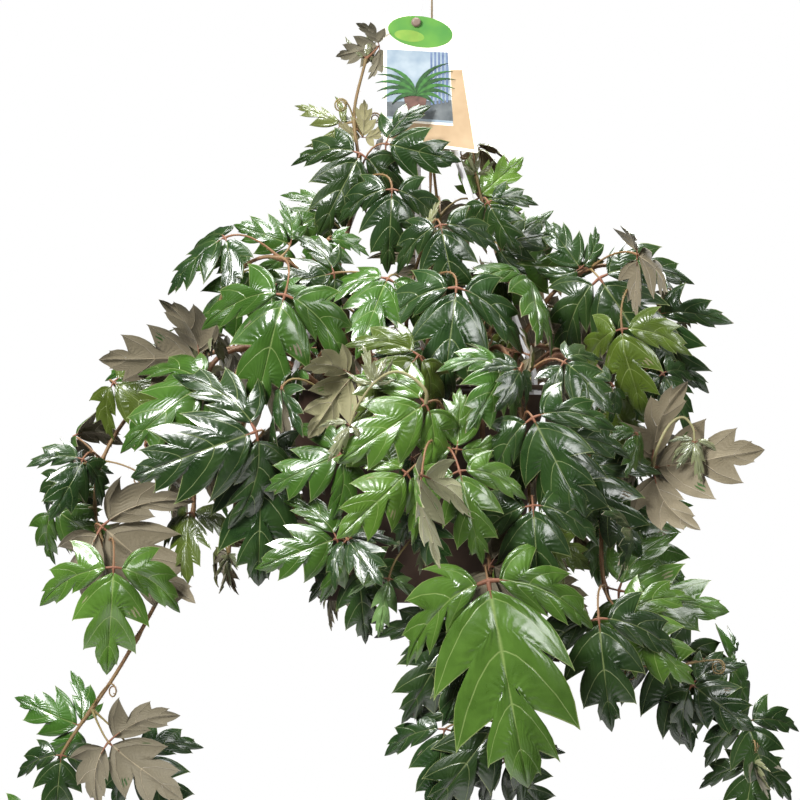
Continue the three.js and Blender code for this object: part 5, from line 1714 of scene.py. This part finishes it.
# %% Strips along a path
def even_spline(bends, steps):
    """Points of a centripetal Catmull-Rom spline, which makes no loops at tight bends."""
    bends = [np.array(b, dtype=float) for b in bends]
    bends = [2 * bends[0] - bends[1], *bends, 2 * bends[-1] - bends[-2]]
    points = []
    for x0, x1, x2, x3 in zip(bends, bends[1:], bends[2:], bends[3:]):
        d0, d1, d2 = (math.sqrt(np.linalg.norm(b - a)) for a, b in ((x0, x1), (x1, x2), (x2, x3)))
        leave = ((x1 - x0) / d0 - (x2 - x0) / (d0 + d1) + (x2 - x1) / d1) * d1
        arrive = ((x2 - x1) / d1 - (x3 - x1) / (d1 + d2) + (x3 - x2) / d2) * d1
        points += [cubic(x1, leave, x2, arrive, i / steps) for i in range(steps)]
    return points + [bends[-2]]


STRIP_SOCKETS = {"Width": "Float", "Thickness": "Float", "Corner": "Float", "Across": "Vector",
                 "Plastic": "Material"}
sweep, given, result = new_geometry_tree("sweep a strip", STRIP_SOCKETS)
path = result_of(sweep, "GeometryNodeMeshToCurve", {"Mesh": given["Geometry"]})
inputs = {"Curve": path, "Normal": given["Across"]}
path = result_of(sweep, "GeometryNodeSetCurveNormal", inputs, mode="FREE")
inputs = {"Width": given["Width"], "Height": given["Thickness"]}
section = result_of(sweep, "GeometryNodeCurvePrimitiveQuadrilateral", inputs)
inputs = {"Curve": section, "Radius": given["Corner"], "Count": 4}
section = result_of(sweep, "GeometryNodeFilletCurve", inputs, mode="POLY")
inputs = {"Curve": path, "Profile Curve": section, "Fill Caps": True}
strip = realized(sweep, result_of(sweep, "GeometryNodeCurveToMesh", inputs))
sweep.links.new(painted(sweep, strip, given["Plastic"]), result.inputs[0])
HANGER_PLASTIC = moulded_plastic("satin moulded polypropylene, white", "#f0eff2", "#dedbd6", 0.9, 0.36)


STRIP_CORNER = 0.7  # the radius of its long edges


def strip_object(name, points, width, thick, across):
    """A strip along points in millimetres."""
    mesh = bpy.data.meshes.new(name)
    mesh.from_pydata([tuple(p * MM) for p in points], [(i, i + 1) for i in range(len(points) - 1)], [])
    values = {"Width": width * MM, "Thickness": thick * MM, "Corner": STRIP_CORNER * MM,
              "Across": across, "Plastic": HANGER_PLASTIC}
    return grown_object(name, mesh, sweep, values)


print("nodes in the sweeping tree:", len(sweep.nodes))

# %% Hook and arms
HOOK_INNER_RADIUS = 12
HOOK_STRIP = {"width": 7, "thick": 3}
HUB = {"top": -66, "bottom": -82, "radius": 8.5}
ARM_FOOT = {"wide": 9, "deep": 4.5, "high": 2.4}
TAG = {"thick": 0.7, "back": -4.6, "stud_height": -50, "lean": 14, "hole": 1.9}


def joined_mesh(name, *meshes):
    bm = bmesh.new()
    for mesh in meshes:
        bm.from_mesh(mesh)
    return mesh_from(name, bm)


def taken_mesh(piece):
    """The mesh of an object that is no longer needed."""
    mesh = piece.data
    bpy.data.objects.remove(piece)
    return mesh


middle = HOOK_INNER_RADIUS + HOOK_STRIP["thick"] / 2
hook_route = [(0, z) for z in (HUB["bottom"] + 6, HUB["top"] + 8, HUB["top"] + 20, HUB["top"] + 29)]
hook_route.append((middle * 0.72, -26))
for turn in range(0, 181, 30):
    angle = math.radians(turn)
    hook_route.append((middle * math.cos(angle), middle * math.sin(angle) - HOOK_INNER_RADIUS))
hook_route.append((-middle - 3.5, -HOOK_INNER_RADIUS - 11))
hook_points = even_spline([(0, y, z) for y, z in hook_route], 8)
hook_strip = strip_object("hook", hook_points, HOOK_STRIP["width"], HOOK_STRIP["thick"], (1, 0, 0))
hub_profile = rounded([(0, HUB["bottom"]), (HUB["radius"], HUB["bottom"]),
                       (HUB["radius"], HUB["top"] - 3), (HUB["radius"] - 3, HUB["top"]),
                       (0, HUB["top"])], 1)
stud_place = (Matrix.Translation((0, 0, TAG["stud_height"] * MM))
              @ Matrix.Rotation(math.radians(90), 4, "X"))
stud_hole = pin_mesh("stud_hole", TAG["hole"] * MM, 0.02, [stud_place])
hook_mesh = cut(taken_mesh(hook_strip), stud_hole)
hook_mesh = smoothed(joined_mesh("hook", hook_mesh, spun_mesh("hub", hub_profile, 64)), 35)
hook = add_piece("hanger_hook_and_hub", hook_mesh, HANGER_PLASTIC, "hanger_hook")

shoulder, elbow = (12, -92), (SLOT_RADIUS - 2.5, POT["rim"] + 13)
arm_middle = ((shoulder[0] + elbow[0]) / 2, (shoulder[1] + elbow[1]) / 2)
arm_profile = [(4.5, -76), shoulder, arm_middle, elbow, (SLOT_RADIUS, POT["rim"] + 4),
               (SLOT_RADIUS, POT["rim"] - POT["flange"] - GAP - ARM_FOOT["high"])]
foot_height = POT["rim"] - POT["flange"] - GAP - ARM_FOOT["high"] / 2
for number, azimuth in enumerate(ARM_AZIMUTHS, 1):
    bends = [round_point(azimuth, radius, height) for radius, height in arm_profile]
    across = (-math.sin(math.radians(azimuth)), math.cos(math.radians(azimuth)), 0)
    arm = strip_object(f"arm_{number}", even_spline(bends, 10), ARM_STRIP["width"],
                       ARM_STRIP["thick"], across)
    place = turned_to(azimuth) @ Matrix.Translation((SLOT_RADIUS * MM, 0, foot_height * MM))
    foot = bar_mesh("foot", [ARM_FOOT[k] * MM for k in ("deep", "wide", "high")], [place])
    arm_mesh = smoothed(joined_mesh(f"arm_{number}", taken_mesh(arm), foot), 35)
    piece = add_piece(f"hanger_arm_white_{number}", arm_mesh, HANGER_PLASTIC,
                      f"hanger_arm_{number}")
print("hook:", len(hook.data.polygons), "faces; each arm:", len(piece.data.polygons))

# %% [markdown]
# ## The hang tag
# A tag of coated card hangs from a stud in the hanger's shank. Its print is plain and of no make: a
# green oval round the stud, and below it a potted plant at a curtained window, with a sand border on
# two sides. Each colour is a thin layer that lies on the card, as ink does.

# %% Tag
TAG_CORNERS = [(-19.5, 6.5), (25, 0), (37, -82), (-19.5, -74)]
TAG_PLACE = (Matrix.Translation((0, TAG["back"] * MM, TAG["stud_height"] * MM))
             @ Matrix.Rotation(-math.radians(TAG["lean"]), 4, "X"))
TAG_CORNER = 1.6
INK_STEP = 0.04  # millimetres from one ink layer to the next
INK_SUNK = 0.02  # how far each reaches into the card


def flat_mesh(name, outline, front, back, hole=None):
    """A flat plate from an outline of (x, z), between two depths in front of the tag's back."""
    bm = bmesh.new()
    for loop in [outline] + ([hole] if hole else []):
        corners = [bm.verts.new((x * MM, -front * MM, z * MM)) for x, z in loop]
        for i, corner in enumerate(corners):
            bm.edges.new((corners[i - 1], corner))
    bmesh.ops.triangle_fill(bm, use_beauty=True, edges=bm.edges)
    made = bmesh.ops.extrude_face_region(bm, geom=bm.faces[:])
    for corner in (item for item in made["geom"] if isinstance(item, bmesh.types.BMVert)):
        corner.co.y = -back * MM
    bmesh.ops.recalc_face_normals(bm, faces=bm.faces)
    bm.transform(TAG_PLACE)
    return mesh_from(name, bm)


def round_corners(corners, radius, steps=6):
    """An outline with each corner rounded."""
    ring = [np.array(c, dtype=float) for c in corners]
    outline = []
    for i, corner in enumerate(ring):
        before, after = ring[i - 1] - corner, ring[(i + 1) % len(ring)] - corner
        start, end = corner + unit(before) * radius, corner + unit(after) * radius
        outline += [tuple(bent(start, corner, end, k / steps)) for k in range(steps + 1)]
    return outline


def oval(x, z, wide, high, lean=0, count=40):
    """An oval outline, leaning by an angle in degrees."""
    turn = math.radians(lean)
    points = []
    for k in range(count):
        a, b = wide * math.cos(2 * math.pi * k / count), high * math.sin(2 * math.pi * k / count)
        points.append((x + a * math.cos(turn) - b * math.sin(turn),
                       z + a * math.sin(turn) + b * math.cos(turn)))
    return points


def blade_outline(x, z, length, wide, lean):
    """A long pointed leaf that bends over."""
    turn = math.radians(lean)
    left, right = [], []
    for k in range(9):
        t = k / 8
        bend = turn - 0.7 * t * math.copysign(1, math.cos(turn))
        px, pz = x + length * t * math.cos(bend), z + length * t * math.sin(bend)
        half = wide * math.sin(math.pi * (0.15 + 0.85 * t))
        left.append((px - half * math.sin(bend), pz + half * math.cos(bend)))
        right.append((px + half * math.sin(bend), pz - half * math.cos(bend)))
    return left + right[::-1]


def printed_ink(name, colour, second, scale_mm):
    """Offset print under a clear coat: flat colour with a soft change from one tone to another."""
    material, tree, shader = new_material(name)
    tone = patches_of(tree, noise_of(tree, scale_mm), 2.4, -0.7)
    ink = blend_of(tree, tone, linear(colour), linear(second))
    fill(tree, shader, {"Base Color": ink, "Roughness": 0.38, "Coat Weight": 0.25})
    return material


def coated_card():
    """Coated card: an almost white, faintly fibrous sheet with a soft gloss."""
    material, tree, shader = new_material("printed coated card")
    fibre = noise_of(tree, 1.2, 4.0)
    colour = ramp(tree, fibre, [(0.3, "#f0e6cf"), (0.7, "#f8f3e6")])
    bumps = bumps_of(tree, (fibre, 0.2, 0.05))
    fill(tree, shader, {"Base Color": colour, "Roughness": 0.42, "Normal": bumps})
    return material


card_front = TAG["thick"]
hole = oval(0, 0, TAG["hole"], TAG["hole"], count=32)
tag_mesh = flat_mesh("tag", round_corners(TAG_CORNERS, TAG_CORNER), card_front, 0, hole)
add_piece("hang_tag", smoothed(tag_mesh, 30), coated_card(), "tag")

border = [(-17.5, -62), (22, -65), (20.5, -30), (27.4, -30), (34.8, -79.8), (-17.5, -72)]
window = [(-17.5, -17), (19, -19), (22, -63.5), (-17.5, -60.5)]
PRINTS = [
    ("sand_ink", "#a58c6c", "#b59d7d", 12, border),
    ("sky_blue_ink", "#7b8c9a", "#9aa6ae", 9, window),
    ("floor_grey_ink", "#474d50", "#6a6f70", 6, [(-17.5, -50), (21.1, -49), (22, -62), (-17.5, -59)]),
    ("leaf_green_ink", "#427b33", "#5c8f35", 14, oval(2.5, -6, 19.5, 9.8, -8)),
    ("light_green_ink", "#7d9a3f", "#6a9338", 5, oval(-4, -8.6, 9, 3.6, -8)),
]
for number in range(5):
    left, foot = 8.5 + 2.3 * number, -52 + 0.4 * number
    fold = [(left, -19), (left + 1.2, -19), (left + 1.4, foot), (left + 0.2, foot)]
    PRINTS.append((f"curtain_ink_{number}", "#4f5f80", "#697a94", 4, fold))
pot_print = [(-7.5, -46), (6.5, -46.4), (4.6, -58), (-5.4, -57.6)]
PRINTS.append(("pot_ink", "#4f3a33", "#6d5046", 4, pot_print))
fan = [(12, 13), (26, 18), (38, 22), (50, 24), (62, 26), (74, 27), (86, 28), (98, 27), (110, 26),
       (122, 25), (134, 23), (146, 20), (162, 15)]
for number, (lean, length) in enumerate(fan):
    shade = ("#2c5526", "#3f7432") if number % 2 else ("#1c3a1a", "#2f5a2a")
    PRINTS.append((f"plant_ink_{number}", *shade, 3, blade_outline(-0.5, -46, length, 1.25, lean)))


def add_prints():
    """All ink layers as one piece with a material each."""
    bm, inks = bmesh.new(), []
    for number, (name, colour, second, scale_mm, outline) in enumerate(PRINTS):
        first = len(bm.faces)
        depth = card_front + INK_STEP * (number + 1)
        own_hole = hole if name == "leaf_green_ink" else None
        bm.from_mesh(flat_mesh(name, outline, depth, card_front - INK_SUNK, own_hole))
        bm.faces.ensure_lookup_table()
        for face in bm.faces[first:]:
            face.material_index = number
        inks.append(printed_ink(name.replace("_", " "), colour, second, scale_mm))
    piece = placed("tag_print", mesh_from("tag_print", bm))
    for ink in inks:
        piece.data.materials.append(ink)
    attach(piece, "root")
    return piece


prints = add_prints()
print("tag print:", len(prints.data.polygons), "faces in", len(PRINTS), "inks")

# %% Stud
STUD = {"head_radius": 2.9, "head_high": 2, "pin_radius": 1.4, "clip_radius": 2.6, "clip_high": 1.2}
STUD_PLASTIC = moulded_plastic("satin moulded nylon, taupe", "#7c6a5e", "#98877a", 0.6, 0.38)
lean_room = STUD["head_radius"] * math.tan(math.radians(TAG["lean"]))
stud_front = -(TAG["back"] - TAG["thick"] - lean_room - GAP)
stud_rear = -(HOOK_STRIP["thick"] / 2 + GAP)
stud_profile = rounded([
    (0, stud_rear - STUD["clip_high"]), (STUD["clip_radius"], stud_rear - STUD["clip_high"]),
    (STUD["clip_radius"], stud_rear), (STUD["pin_radius"], stud_rear),
    (STUD["pin_radius"], stud_front), (STUD["head_radius"], stud_front),
    (STUD["head_radius"], stud_front + STUD["head_high"] * 0.5),
    (STUD["head_radius"] * 0.7, stud_front + STUD["head_high"]), (0, stud_front + STUD["head_high"]),
], 0.5)
stud_mesh = spun_mesh("stud", stud_profile, 48)
stud_mesh.transform(stud_place)
add_piece("tag_closing_stud", smoothed(stud_mesh, 35), STUD_PLASTIC, "tag_stud")
print("stud from", round(stud_rear, 1), "to", round(stud_front + STUD["head_high"], 1), "mm in front")

# %% [markdown]
# ## The sizes at the end
# The dressed plant should keep the size of its solids, so both boxes are printed before finishing.

# %% Sizes and finish
dressed_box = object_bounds()
for label, (low, high) in (("solids", solids_box), ("dressed", dressed_box)):
    print(label, [round(v * 1000, 1) for v in low], [round(v * 1000, 1) for v in high])
